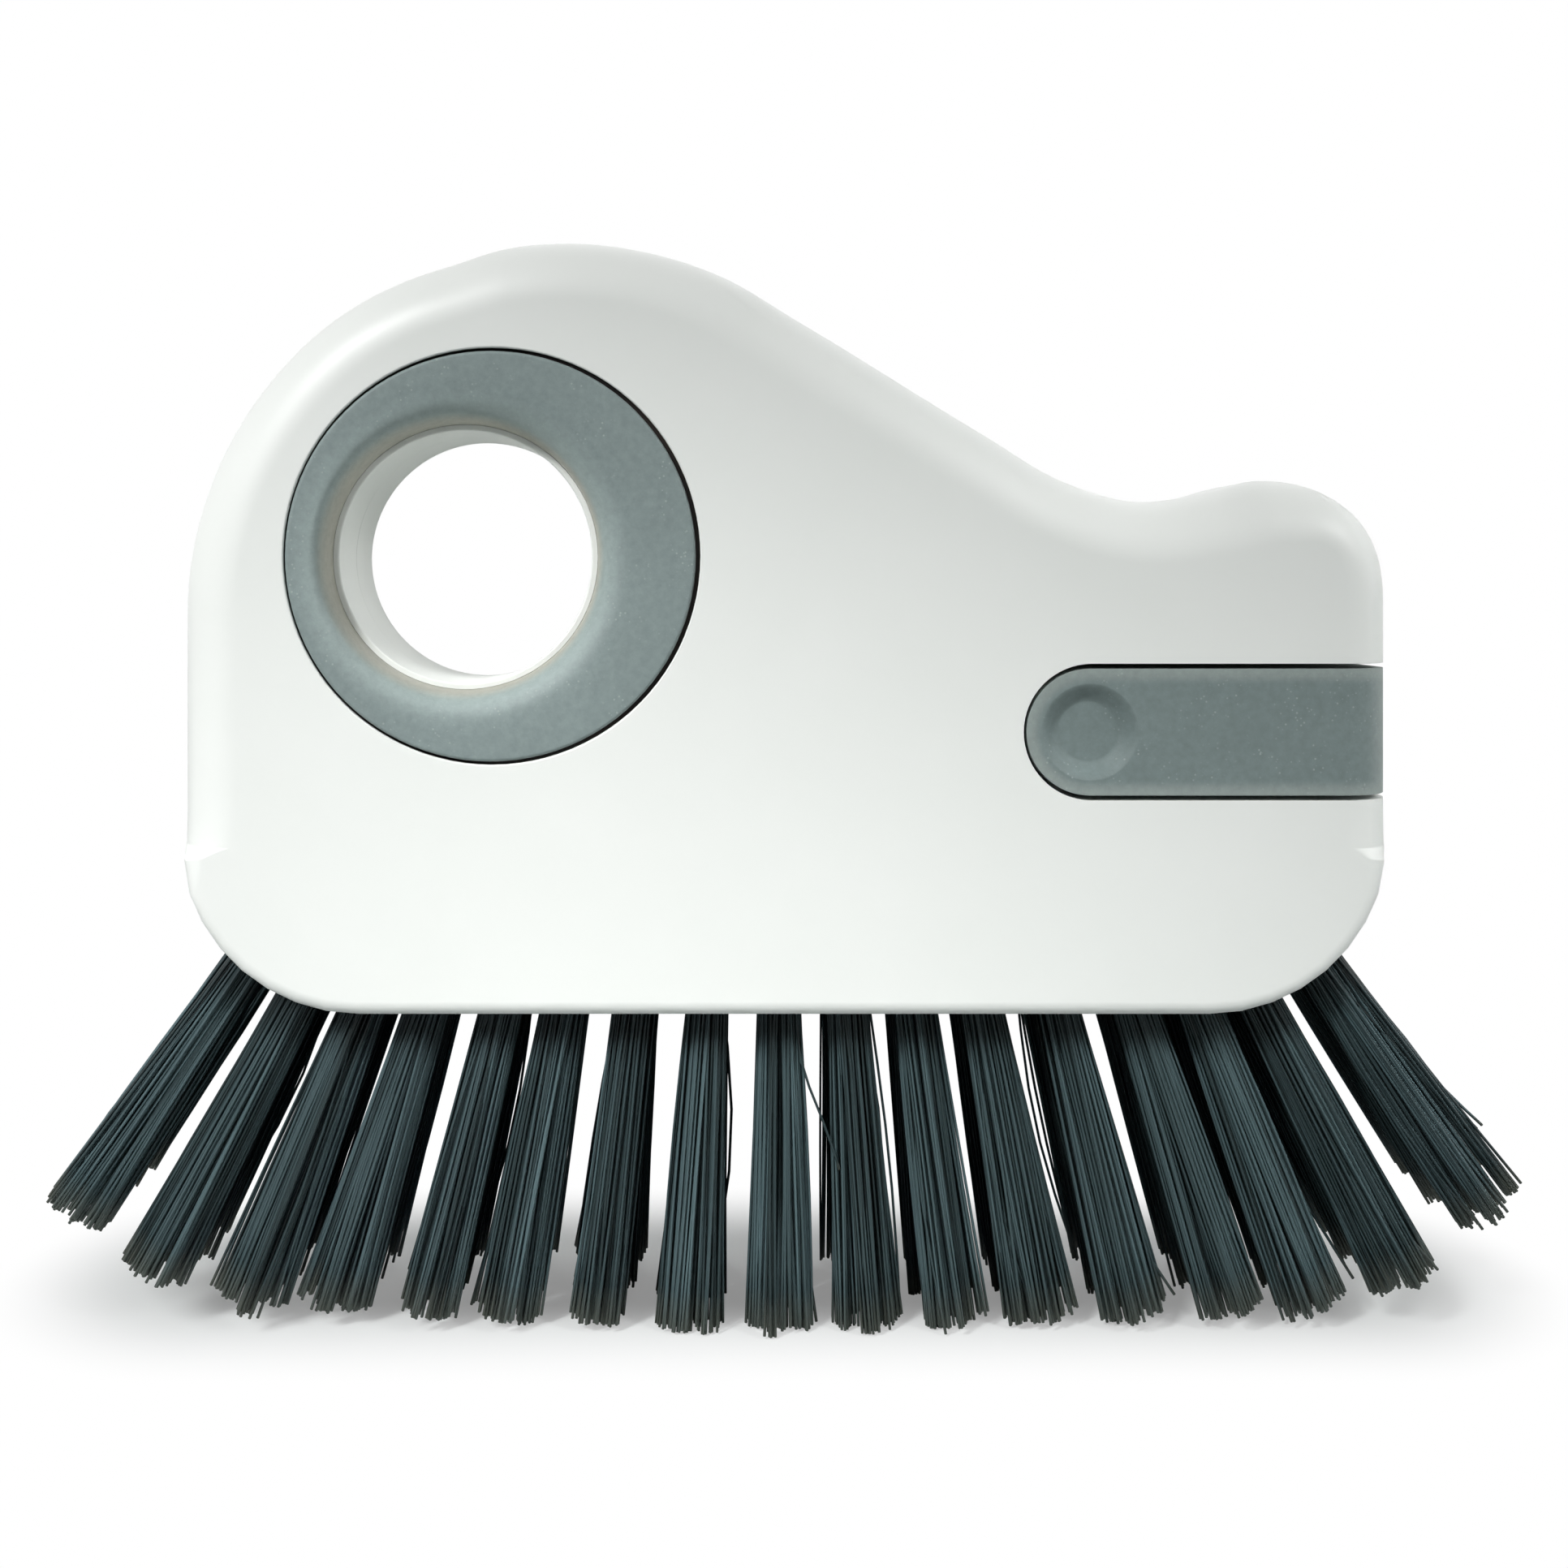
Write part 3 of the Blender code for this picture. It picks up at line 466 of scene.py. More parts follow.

# %% [markdown]
# ## Black nylon filament
# Each bristle is a drawn nylon filament, black with a cold blue cast, and smooth enough for a narrow
# highlight along it. No two lie quite alike, so each gets a shade of its own, which is stored on its mesh
# points. A second stored value runs from the root to the tip. Close to the block the colour is darkened
# as painted shade, where the head's shadow falls and the dense filaments let little light between them,
# and the cut ends are rough and paler.

# %% Nylon
def drawn_nylon(name, dark, light, root_shade_colour, tip_colour):
    """Smooth filaments, each of its own shade, with painted shade at the root and paler at the tip."""
    material, tree = new_material(name)
    shade = add_node(tree, "ShaderNodeAttribute", {"attribute_name": "shade"}).outputs["Fac"]
    along = add_node(tree, "ShaderNodeAttribute", {"attribute_name": "along"}).outputs["Fac"]
    tint = add_node(
        tree, "ShaderNodeMix", {"data_type": "RGBA"}, {"Factor": shade, "A": linear(dark), "B": linear(light)}
    ).outputs["Result"]
    # Painted shade near the block, where the head's shadow falls and the filaments lie dense.
    tint = painted(tree, tint, root_shade_colour, along, 0.35, 0.23, 0.65)
    tint = painted(tree, tint, tip_colour, along, 0.90, 1.0, 0.7, "LINEAR")
    shader = add_node(tree, "ShaderNodeBsdfPrincipled", None, {
        "Base Color": tint, "Roughness": 0.42, "IOR": 1.53, "Specular IOR Level": 0.25,
    })
    add_node(tree, "ShaderNodeOutputMaterial", None, {"Surface": shader.outputs[0]})
    return material


black_nylon = drawn_nylon("black_nylon_filament", "#1E292A", "#566A6E", "#0B0F0F", "#66695F")
print("bristles:", black_nylon.name)

# %% [markdown]
# ## The body's outline
# Seen from the front, the body is one closed line. It runs round the head with its two large lower
# corners, steps out by half a millimetre at a shoulder, and goes over the grip: a hump, a long slope, a
# valley and a knob. A Bezier curve is the natural tool for such a line, because the places measured in
# the photograph become its knots and the handles keep it smooth. Turned into a mesh, it gives the chain
# of points that the shells grow from.

# %% The outline's knots
shoulder_foot = ledge - shoulder_height
corner_turn = math.acos((head_corner - (shoulder_foot - head_bottom)) / head_corner)
touch = 0.01 * mm  # what is closer than this to a line or a face lies on it


def right_head_knots():
    """Knots of the head's right half, from the flat bottom to the top of the shoulder."""
    reach = 4 / 3 * math.tan(corner_turn / 4) * head_corner
    across, lift = head_corner * math.sin(corner_turn), head_corner * (1 - math.cos(corner_turn))
    end = Vector((flat_half + across, head_bottom + lift))
    up = Vector((math.cos(corner_turn), math.sin(corner_turn)))
    start = Vector((flat_half, head_bottom))
    top = Vector((half_grip, ledge))
    rise = Vector((0, shoulder_height / 3))
    flank = Vector((0, (grip_shares[-1][1] * grip_height) / 3))
    return [
        (start, start - Vector((flat_half * 2 / 3, 0)), start + Vector((reach, 0))),
        (end, end - up * reach, end + up * rise.length),
        (top, top - rise, top + flank),
    ]


def grip_knots():
    """Knots from the right flank over the crest to the left flank, upright at both ends."""
    places = [Vector(((x * 2 - 1) * half_grip, ledge + z * grip_height)) for x, z in reversed(grip_shares)]
    knots = []
    for index, place in enumerate(places):
        before = place - places[index - 1] if index else Vector((0, place.y - ledge))
        after = places[index + 1] - place if index + 1 < len(places) else Vector((0, ledge - place.y))
        if index in (0, len(places) - 1):
            way = Vector((0, 1 if index == 0 else -1))
        else:
            way = (before.normalized() * after.length + after.normalized() * before.length).normalized()
        knots.append((place, place - way * before.length / 3, place + way * after.length / 3))
    return knots


def mirrored(knots):
    """The same knots on the other side, in the opposite order."""
    flip = [tuple(Vector((-point.x, point.y)) for point in knot) for knot in reversed(knots)]
    return [(place, after, before) for place, before, after in flip]


head_knots = right_head_knots()
outline_knots = head_knots + grip_knots() + mirrored(head_knots)
print("knots:", len(outline_knots))

# %% The outline as a chain of points
def new_bezier(name, count, steps):
    """A curve with one Bezier spline of so many knots, with so many steps from knot to knot."""
    curve = bpy.data.curves.new(name, "CURVE")
    curve.dimensions = "3D"
    curve.resolution_u = steps
    spline = curve.splines.new("BEZIER")
    spline.bezier_points.add(count - 1)
    return curve, spline


def curve_to_mesh(curve):
    """A curve turned into a mesh. The curve is deleted."""
    holder = bpy.data.objects.new(curve.name, curve)
    data = bpy.data.meshes.new_from_object(holder)
    bpy.data.objects.remove(holder)
    bpy.data.curves.remove(curve)
    return data


def outline_mesh(steps):
    """The closed outline in the XZ plane, with so many steps from knot to knot."""
    curve, spline = new_bezier("outline", len(outline_knots), steps)
    spline.use_cyclic_u = True
    for point, knot in zip(spline.bezier_points, outline_knots):
        point.co, point.handle_left, point.handle_right = (Vector((p.x, 0, p.y)) for p in knot)
    return curve_to_mesh(curve)


fine_outline = outline_mesh(8)
plain_outline = outline_mesh(2)
print("outline points:", len(fine_outline.vertices))

# %% [markdown]
# ## Rounding the outline into a shell
# The grip's edge is rounded by 6.5 mm, on its right flank by 5 mm, and the head's edge only by 1.5 mm,
# so one bevel of one size can't make them all. Instead the outline is extruded many times. After each
# extrusion every new point moves inwards by its own radius, which depends on its place, and along its own
# direction: towards the corner's centre on the head, level at the shoulder, and square to the curve on
# the grip. The shoulder's sloping ledge comes about by itself, where the two radii run into each other.

# %% Radius and direction at each point of the outline
flank_zone = (10.0 * mm, 2.0 * mm)  # from the right end, where the flank's smaller rounding sets in
ledge_zone = (0.8 * mm, 0.4 * mm)  # below and above the shoulder, where the head's rounding changes


def soft_step(value, start, end):
    """A smooth step from 0 at the start to 1 at the end."""
    share = min(1, max(0, (value - start) / (end - start)))
    return share * share * (3 - 2 * share)


def edge_radius(place):
    """How far the body's edge is rounded at this place of the outline."""
    flank = soft_step(place.x, half_grip - flank_zone[0], half_grip - flank_zone[1])
    above = soft_step(place.z, shoulder_foot - ledge_zone[0], ledge + ledge_zone[1])
    grip = grip_edge + (flank_edge - grip_edge) * flank
    return head_edge + (grip - head_edge) * above


def inward_ways(points):
    """For each point of the outline, the direction straight into the body."""
    ways = []
    for index, point in enumerate(points):
        along = (points[(index + 1) % len(points)] - points[index - 1]).normalized()
        way = Vector((-along.z, 0, along.x))
        if shoulder_foot - touch <= point.z <= ledge + touch:
            share = (point.z - shoulder_foot) / shoulder_height
            lift = (1 - share) * (math.pi / 2 - corner_turn)
            way = Vector((math.copysign(math.cos(lift), -point.x), 0, math.sin(lift)))
        ways.append(way)
    return ways


def new_piece(name, mesh, material=None):
    """A finished bmesh as an object, its faces pointing outwards."""
    bmesh.ops.recalc_face_normals(mesh, faces=mesh.faces)
    data = bpy.data.meshes.new(name)
    mesh.to_mesh(data)
    mesh.free()
    if material:
        data.materials.append(material)
    return add_object(name, data)


def drawn_on(mesh, rim):
    """Extrude a rim of edges. Gives the new rim and its points."""
    drawn = bmesh.ops.extrude_edge_only(mesh, edges=rim)["geom"]
    kinds = (bmesh.types.BMEdge, bmesh.types.BMVert)
    return [[item for item in drawn if isinstance(item, kind)] for kind in kinds]


def rounded_form(name, chain, side, inset, depth, edges, start, steps, material=None):
    """The outline, moved in by an inset, drawn out and rounded at its far edge."""
    points = [vert.co.copy() for vert in chain.vertices]
    ways = inward_ways(points)
    stations = list(start)
    for step in range(steps + 1):
        angle = math.pi / 2 * step / steps
        stations.append((inset, 1 - math.cos(angle), depth, math.sin(angle) - 1))
    mesh = bmesh.new()
    mesh.from_mesh(chain)
    number = mesh.verts.layers.int.new("number")
    for index, vert in enumerate(mesh.verts):
        vert[number] = index
    rim, ring = list(mesh.edges), list(mesh.verts)
    bmesh.ops.contextual_create(mesh, geom=rim)
    for count, (across, across_share, level, level_share) in enumerate(stations):
        if count:
            rim, ring = drawn_on(mesh, rim)
        for vert in ring:
            place, edge = points[vert[number]], edges[vert[number]]
            vert.co = place + ways[vert[number]] * (across + across_share * edge)
            vert.co.y = side * (level + level_share * edge)
    bmesh.ops.contextual_create(mesh, geom=rim)
    return new_piece(name, mesh, material)


def body_form(name, side, material=None):
    """One half of the body's outer form, slightly rounded where it meets the other."""
    edges = [edge_radius(vert.co) for vert in fine_outline.vertices]
    start = [(seam_round, 0, -overrun, 0)]
    for step in range(4):
        angle = math.pi / 2 * step / 3
        start.append((seam_round * (1 - math.sin(angle)), 0, parting + seam_round * (1 - math.cos(angle)), 0))
    return rounded_form(name, fine_outline, side, 0, half_thickness, edges, start, 12, material)


def room_form(name, side, reach=0.0):
    """The room inside a shell, or the same form let into its wall by a reach."""
    depth = wall - reach
    edges = [max(edge_radius(vert.co) - depth, 0.5 * mm) for vert in plain_outline.vertices]
    start = [(depth, 0, -2 * overrun, 0)]
    return rounded_form(name, plain_outline, side, depth, half_thickness - depth, edges, start, 4)


# %% [markdown]
# ## Cutting and joining
# The rest of a shell is added and cut with Boolean modifiers, as in the mould: each tool is a simple
# drum, bar or box. A tool's modifier is applied at once and the tool is deleted, so only the finished
# piece remains. Sharp cut edges don't exist on a moulding, so the edges that show are rounded with a
# bevel while they are still easy to find by their place.

# %% Tools for cutting
crumb = 0.0005 * mm  # points this close to each other after a cut are one point
cut_angle = math.radians(40)  # an edge that turns by more than this is a cut edge


def combine(piece, tool, operation="DIFFERENCE"):
    """Cut a tool out of a piece, or join it on, and delete the tool."""
    step = piece.modifiers.new("step", "BOOLEAN")
    step.operation = operation
    step.solver = "EXACT"
    step.object = tool
    shown = piece.evaluated_get(bpy.context.evaluated_depsgraph_get())
    done = bpy.data.meshes.new_from_object(shown)
    mesh = bmesh.new()
    mesh.from_mesh(done)
    bmesh.ops.remove_doubles(mesh, verts=mesh.verts, dist=crumb)
    bmesh.ops.dissolve_degenerate(mesh, edges=mesh.edges, dist=crumb)
    bmesh.ops.holes_fill(mesh, edges=[edge for edge in mesh.edges if edge.is_boundary])
    mesh.to_mesh(done)
    mesh.free()
    old = piece.data
    piece.modifiers.clear()
    piece.data = done
    bpy.data.meshes.remove(old)
    done.name = piece.name
    bpy.data.objects.remove(tool)


def box_tool(low, high):
    """A box between two corners, given in any order."""
    mesh = bmesh.new()
    size = [abs(b - a) for a, b in zip(low, high)]
    middle = [(a + b) / 2 for a, b in zip(low, high)]
    bmesh.ops.create_cube(mesh, size=1, matrix=Matrix.LocRotScale(Vector(middle), None, Vector(size)))
    return new_piece("box_tool", mesh)


def slot_box(left, right, deep, high):
    """A box along X at the slot's height, given by half its depth and half its height."""
    return box_tool((left, -deep, slot_z - high), (right, deep, slot_z + high))


def across_y(x, z, y=0.0):
    """The frame of a circle that faces along Y."""
    return Matrix.Translation((x, y, z)) @ Matrix.Rotation(math.pi / 2, 4, "X")


def drum_tool(x, z, radius, start, end, steps=32):
    """A round bar along Y."""
    mesh = bmesh.new()
    bmesh.ops.create_cone(
        mesh, cap_ends=True, segments=steps, radius1=radius, radius2=radius, depth=abs(end - start),
        matrix=across_y(x, z, (start + end) / 2),
    )
    return new_piece("drum_tool", mesh)


def lofted(name, stations, looped=False, steps=96, material=None):
    """Circles that face along Y, each (x, z, radius, y), drawn from one to the next."""
    mesh = bmesh.new()
    before = stations[0]
    place = across_y(before[0], before[1], before[3])
    bmesh.ops.create_circle(mesh, cap_ends=False, segments=steps, radius=before[2], matrix=place)
    first_rim = list(mesh.edges)
    rim = first_rim
    for x, z, radius, y in stations[1:]:
        rim, ring = drawn_on(mesh, rim)
        back = Matrix.Translation((-before[0], -before[3], -before[1]))
        grown = Matrix.Diagonal((radius / before[2], 1, radius / before[2], 1))
        bmesh.ops.transform(mesh, matrix=Matrix.Translation((x, y, z)) @ grown @ back, verts=ring)
        before = (x, z, radius, y)
    if looped:
        bmesh.ops.bridge_loops(mesh, edges=first_rim + rim)
    else:
        bmesh.ops.contextual_create(mesh, geom=first_rim)
        bmesh.ops.contextual_create(mesh, geom=rim)
    return new_piece(name, mesh, material)


def bar_tool(name, left_center, radius, right, start, end, material=None):
    """A flat bar through the body at the slot's height, with a round left end."""
    mesh = bmesh.new()
    place = across_y(left_center, slot_z, start)
    bmesh.ops.create_circle(mesh, cap_ends=True, segments=64, radius=radius, matrix=place)
    right_half = [vert for vert in mesh.verts if vert.co.x > left_center + touch]
    bmesh.ops.delete(mesh, geom=right_half, context="VERTS")
    ends = sorted((vert for vert in mesh.verts if len(vert.link_edges) == 1), key=lambda vert: vert.co.z)
    corners = [mesh.verts.new((right, start, vert.co.z)) for vert in ends]
    for pair in [*zip(ends, corners), corners]:
        mesh.edges.new(pair)
    face = bmesh.ops.contextual_create(mesh, geom=list(mesh.edges))["faces"]
    drawn = bmesh.ops.extrude_face_region(mesh, geom=face)["geom"]
    far = [item for item in drawn if isinstance(item, bmesh.types.BMVert)]
    bmesh.ops.translate(mesh, verts=far, vec=(0, end - start, 0))
    return new_piece(name, mesh, material)


def round_edges(piece, belongs, radius, steps=3):
    """Round the sharp edges whose middle a test accepts."""
    mesh = bmesh.new()
    mesh.from_mesh(piece.data)
    chosen = [
        edge for edge in mesh.edges
        if len(edge.link_faces) == 2 and edge.calc_face_angle(0) > cut_angle
        and belongs((edge.verts[0].co + edge.verts[1].co) / 2)
    ]
    bmesh.ops.bevel(
        mesh, geom=chosen, offset=radius, segments=steps, profile=0.5, affect="EDGES", material=-1,
        clamp_overlap=True,
    )
    mesh.to_mesh(piece.data)
    mesh.free()


# %% [markdown]
# ## The dish of the grip ring
# The grey ring is flat at its outside and rolls over into the finger hole, whose centre is 3.3 mm nearer
# the left flank. Its section is given by a few places between the outer and the inner circle, and a
# smooth curve through them gives circles that shrink and shift step by step. The seat in the shell is the
# same stack of circles, a little wider and lower.

# %% The ring's section
dish_places = ((0.0, 0.0), (0.50, 0.01), (0.76, 0.09), (0.93, 0.40), (1.0, 1.0))


def dish_section(side, gap, drop, inner=ring_inner, steps=4):
    """Circles down the dished ring's section, widened by a gap and lowered by a drop."""
    curve, spline = new_bezier("dish", len(dish_places), steps)
    for point, (across, down) in zip(spline.bezier_points, dish_places):
        point.co = (across, down, 0)
        point.handle_left_type = point.handle_right_type = "AUTO"
    chain = curve_to_mesh(curve)
    section = []
    for vert in chain.vertices:
        across, down = vert.co.x, max(0.0, vert.co.y)
        radius = ring_outer + across * (inner - ring_outer) + gap
        level = side * (half_thickness - down * ring_dish - drop)
        section.append((ring_x + across * (bore_x - ring_x), ring_z, radius, level))
    bpy.data.meshes.remove(chain)
    return section


print("ring section:", len(dish_section(-1, 0, 0)), "circles")

# %% [markdown]
# ## The two shells
# Each shell starts as the solid form. The room inside is cut out, then the ring's dished seat, the
# finger hole's sleeve, the wall round the slot and the bosses for the pegs are joined on, and the holes
# are cut. The front and the rear shell differ only in their pegs and sockets, so one function makes both.

# %% Making a shell
boss_reach = boss_radius + wall
ring_clear = ring_outer + 2 * boss_radius
above_slot = slot_z + slot_radius + slot_wall + boss_reach
peg_places = (  # clear of the ring, the slot and the stem
    (ring_x + ring_clear, ring_z + ring_clear * 2 / 3),
    (ring_x - ring_clear * 3 / 4, ring_z - ring_clear * 3 / 4),
    (ring_x + ring_clear * 5 / 4, block_top + seam_gap + boss_radius + 1.1 * mm),
    (handle_center, above_slot),
    (half_grip - boss_reach * 2, above_slot),
)
seat_rounding = 0.2 * mm
slot_rounding = 0.3 * mm
rail_left = slot_center + 1.0 * mm


def add_ring_seat(shell, side):
    """The dished seat inside the shell, and the sleeve round the finger hole, still solid."""
    seat = ring_outer + seam_gap + wall
    tube = bore_radius + sleeve_wall
    floor = half_thickness - ring_wall - seam_gap - wall
    combine(shell, lofted("seat_tool", [
        (ring_x, ring_z, seat, side * (half_thickness - overlap)),
        (ring_x, ring_z, seat, side * floor),
        (bore_x, ring_z, tube + wall, side * (floor - ring_dish)),
        (bore_x, ring_z, tube, side * (floor - ring_dish - wall)),
        (bore_x, ring_z, tube, -side * overrun),
    ]), "UNION")


def cut_ring_seat(shell, side):
    """Room for the ring, with the sleeve's rim left standing in it, and the finger hole."""
    underside = dish_section(side, seam_gap, ring_wall + seam_gap)
    above = side * (half_thickness + overrun)
    rim = bore_radius + sleeve_rim
    x, z, radius, _ = underside[0]
    top = [(x, z, radius, above), (bore_x, ring_z, rim, above), (bore_x, ring_z, rim, underside[-1][3])]
    combine(shell, lofted("seat_room", top + underside[::-1], looped=True))
    level = side * (half_thickness - ring_dish)
    combine(shell, drum_tool(bore_x, ring_z, rim + seam_gap / 2, level, above, 96))
    combine(shell, drum_tool(bore_x, ring_z, bore_radius, above, -2 * side * overrun, 96))


def on_ring_seat(side):
    """A test for the edges of the ring's seat on the face, and of the sleeve's rim."""
    def belongs(middle):
        face = abs(middle.y - side * half_thickness) < touch
        at_ring = Vector((middle.x - ring_x, middle.z - ring_z)).length
        rim = abs(middle.y - side * (half_thickness - ring_dish)) < touch
        at_bore = Vector((middle.x - bore_x, middle.z - ring_z)).length
        return (face and at_ring < ring_outer + 2 * seam_gap) or (rim and at_bore < bore_radius + 0.1 * mm)
    return belongs


def on_slot(middle):
    """A test for the outside edges of the slot."""
    if middle.x > slot_center:
        off = abs(abs(middle.z - slot_z) - slot_radius)
    else:
        off = abs(Vector((middle.x - slot_center, middle.z - slot_z)).length - slot_radius)
    at_flank = middle.x > half_grip - grip_edge * 0.9 and abs(middle.y) > 0.3 * mm
    return off < 5 * touch and (abs(middle.y) > inner_face or at_flank)


def make_shell(name, side):
    """One half of the body: side -1 is the front with the pegs, +1 the rear with the sockets."""
    shell = body_form(name, side, white_polypropylene)
    combine(shell, room_form("room_tool", side))
    outer, inner = side * (half_thickness + overrun), -2 * side * overrun
    under_face = side * (half_thickness - overlap)
    mouth = half_head + overrun
    combine(shell, box_tool(
        (-mouth, inner, head_bottom - overrun), (mouth, side * inner_face, block_split)
    ))
    add_ring_seat(shell, side)
    slot_room = bar_tool(
        "slot_room", slot_center, slot_radius + slot_wall, half_grip + overrun, -side * overrun, under_face
    )
    combine(slot_room, room_form("slot_limit", side, overlap), "INTERSECT")
    combine(shell, slot_room, "UNION")
    for x, z in peg_places:
        combine(shell, drum_tool(x, z, boss_radius, -side * overrun, under_face), "UNION")
    cut_ring_seat(shell, side)
    round_edges(shell, on_ring_seat(side), seat_rounding)
    combine(shell, bar_tool("slot_tool", slot_center, slot_radius, half_grip + overrun, inner, outer))
    round_edges(shell, on_slot, slot_rounding)
    combine(shell, slot_box(slot_left - slot_wall - overrun, slot_center, *stem_room))
    combine(shell, box_tool((-2 * half_grip, inner * 2, 0), (2 * half_grip, side * parting, 2 * crest)))
    add_pegs(shell, side)
    return shell


def add_pegs(shell, side):
    """Pegs or sockets where the shells join, rails for the handle and pins for the block."""
    for x, z in peg_places:
        if side < 0:
            combine(shell, drum_tool(x, z, peg_radius, -parting - overlap, peg_length), "UNION")
        else:
            combine(shell, drum_tool(x, z, peg_radius + seam_gap, -overlap, peg_length + seam_gap))
    for way in (1, -1):
        combine(shell, box_tool(
            (rail_left, side * parting, slot_z + way * (slot_radius - rail_height)),
            (half_grip - rail_end_margin, side * rail_width / 2, slot_z + way * (slot_radius + overlap)),
        ), "UNION")
    for way in (-1, 1):
        x, z = way * pin_share * 2 * half_head, block_top + seam_gap - pin_drop
        combine(shell, drum_tool(x, z, pin_radius, side * (inner_face + overlap), side * seam_gap), "UNION")


# %% Finishing a piece
def finish(piece, body, slot, *nodes):
    """Smooth shading that keeps edges and flat faces, and the piece's place in the frame."""
    piece.data.shade_smooth()
    piece.data.set_sharp_from_angle(angle=math.radians(38))
    even = piece.modifiers.new("flat_faces_stay_flat", "WEIGHTED_NORMAL")
    even.keep_sharp = True
    even.weight = 100
    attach(piece, body)
    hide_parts(*nodes)
    print(piece.name, "-", len(piece.data.vertices), "points")


for name, side in (("front_shell", -1), ("rear_shell", 1)):
    finish(make_shell(name + "_moulding", side), "body", "white_shell", name)

# %% [markdown]
# ## Grip rings
# A ring is the stack of circles down its upper side and back up its underside, joined into a closed
# loop. Its outer edge is rounded, and it lies a little to the left in its seat. So the dark gap round it
# is widest at the right, as in the photograph.

# %% Rings
ring_rounding = 0.35 * mm


def make_ring(name, side):
    """A grey ring that is flush with the face outside and dips into the finger hole."""
    reach = bore_radius + sleeve_rim + 0.03 * mm  # right up to the sleeve's rim
    top = dish_section(side, 0.0, 0.0, reach)
    x, z, radius, y = top[0]
    outer = []
    for step in range(4):
        angle = math.pi / 2 * step / 4
        level = y - side * ring_rounding * (1 - math.sin(angle))
        outer.append((x, z, radius - ring_rounding * (1 - math.cos(angle)), level))
    top[0] = (x, z, radius - ring_rounding, y)
    under = dish_section(side, 0.0, ring_wall, reach)
    circles = []
    for x, z, radius, y in outer + top + under[::-1]:
        circles.append((x - ring_shift * (radius - reach) / (ring_outer - reach), z, radius, y))
    return lofted(name, circles, looped=True, material=ring_elastomer)


for name, side in (("front_grip_ring", -1), ("rear_grip_ring", 1)):
    finish(make_ring(name.replace("grip", "soft_grip"), side), "body", "grey_soft_grip", name)

# %% [markdown]
# ## Sliding handle
# The handle fills the slot and follows the body's rounded right flank. So it is the slot's bar, a little
# smaller, intersected with the body's own form, and then its outer edges are rounded. The thumb dimple is
# a shallow round dish with a flat floor, cut with a stack of circles. Inside there is room for the stem's
# flange, closed by a rib, and two grooves take the shells' rails.

# %% Handle halves
dimple_radius = 4.9 * mm
dimple_floor = 2.9 * mm
dimple_depth = 1.3 * mm
handle_wall = 2.0 * mm
handle_rounding = 0.4 * mm
flange_thickness = 3.0 * mm
rib_thickness = 1.5 * mm
dimple_places = (
    (0.0, 1.0), (0.10, 0.98), (0.22, 0.90), (0.36, 0.74), (0.50, 0.54), (0.64, 0.34), (0.78, 0.17),
    (0.90, 0.05), (1.0, 0.0),
)


def dimple_tool(side):
    """The dish of the thumb dimple: a flat floor, a sloping wall and a rolled rim."""
    stations = []
    for across, down in dimple_places:
        radius = dimple_floor + (dimple_radius - dimple_floor) * across
        stations.append((handle_center, slot_z, radius, side * (half_thickness - dimple_depth * down)))
    for above in (0.2 * mm, overrun):
        stations.append((handle_center, slot_z, dimple_radius + 0.5 * mm, side * (half_thickness + above)))
    return lofted("dimple_tool", stations, steps=64)


def make_handle(name, side):
    """Half of the sliding handle, with the stem's flange and the rails' grooves cut out of it."""
    handle = bar_tool(
        name, handle_center, handle_radius, half_grip + overrun, side * parting,
        side * (half_thickness + overrun), handle_elastomer,
    )
    combine(handle, body_form("grip_limit", side), "INTERSECT")
    round_edges(handle, lambda middle: abs(middle.y) > 0.5 * mm, handle_rounding, 4)
    combine(handle, dimple_tool(side))
    room = handle_radius - rail_height - handle_wall / 2
    left = handle_left + handle_wall
    right = half_grip - handle_wall - grip_edge / 2
    floor = side * (inner_face - dimple_depth)
    combine(handle, box_tool((left, -side * overrun, slot_z - room), (right, floor, slot_z + room)))
    rib = left + flange_thickness + 2 * seam_gap
    combine(handle, box_tool(
        (rib, side * parting, slot_z - room - overlap / 2),
        (rib + rib_thickness, floor + side * overlap, slot_z + room + overlap / 2),
    ), "UNION")
    groove = rail_width / 2 + seam_gap
    for way in (1, -1):
        combine(handle, box_tool(
            (handle_left - overrun, -groove, slot_z + way * (slot_radius - rail_height - seam_gap)),
            (half_grip - rail_end_margin + seam_gap, groove, slot_z + way * (slot_radius + overlap)),
        ))
    combine(handle, slot_box(handle_left - overrun, left + overlap, *stem_room))
    return handle


for name, side in (("pull_handle_front", -1), ("pull_handle_rear", 1)):
    finish(make_handle(name.replace("pull", "soft_pull"), side), "pull_out_brush", "grey_soft_grip", name)

# %% [markdown]
# ## Stem of the narrow brush
# The stem is a plain moulded bar with a flange that the two handle halves clamp. It is a cube drawn to
# size with its edges rounded, the flange joined on and a socket cut for the bristles.

# %% Stem
stem_left = 0.4 * mm
stem_right = 29.4 * mm
stem_rounding = 0.6 * mm
flange_half = inner_face - dimple_depth - 1.8 * mm
flange_high = handle_radius - rail_height - handle_wall / 2 - seam_gap
flange_rounding = 0.4 * mm
socket_depth = 4.3 * mm
crevice_width = 6.8 * mm
crevice_height = 2.4 * mm


def rounded_bar(left, right, deep, high, radius):
    """A bar along X at the slot's height, with rounded edges."""
    bar = slot_box(left, right, deep, high)
    round_edges(bar, lambda middle: True, radius, 4)
    return bar


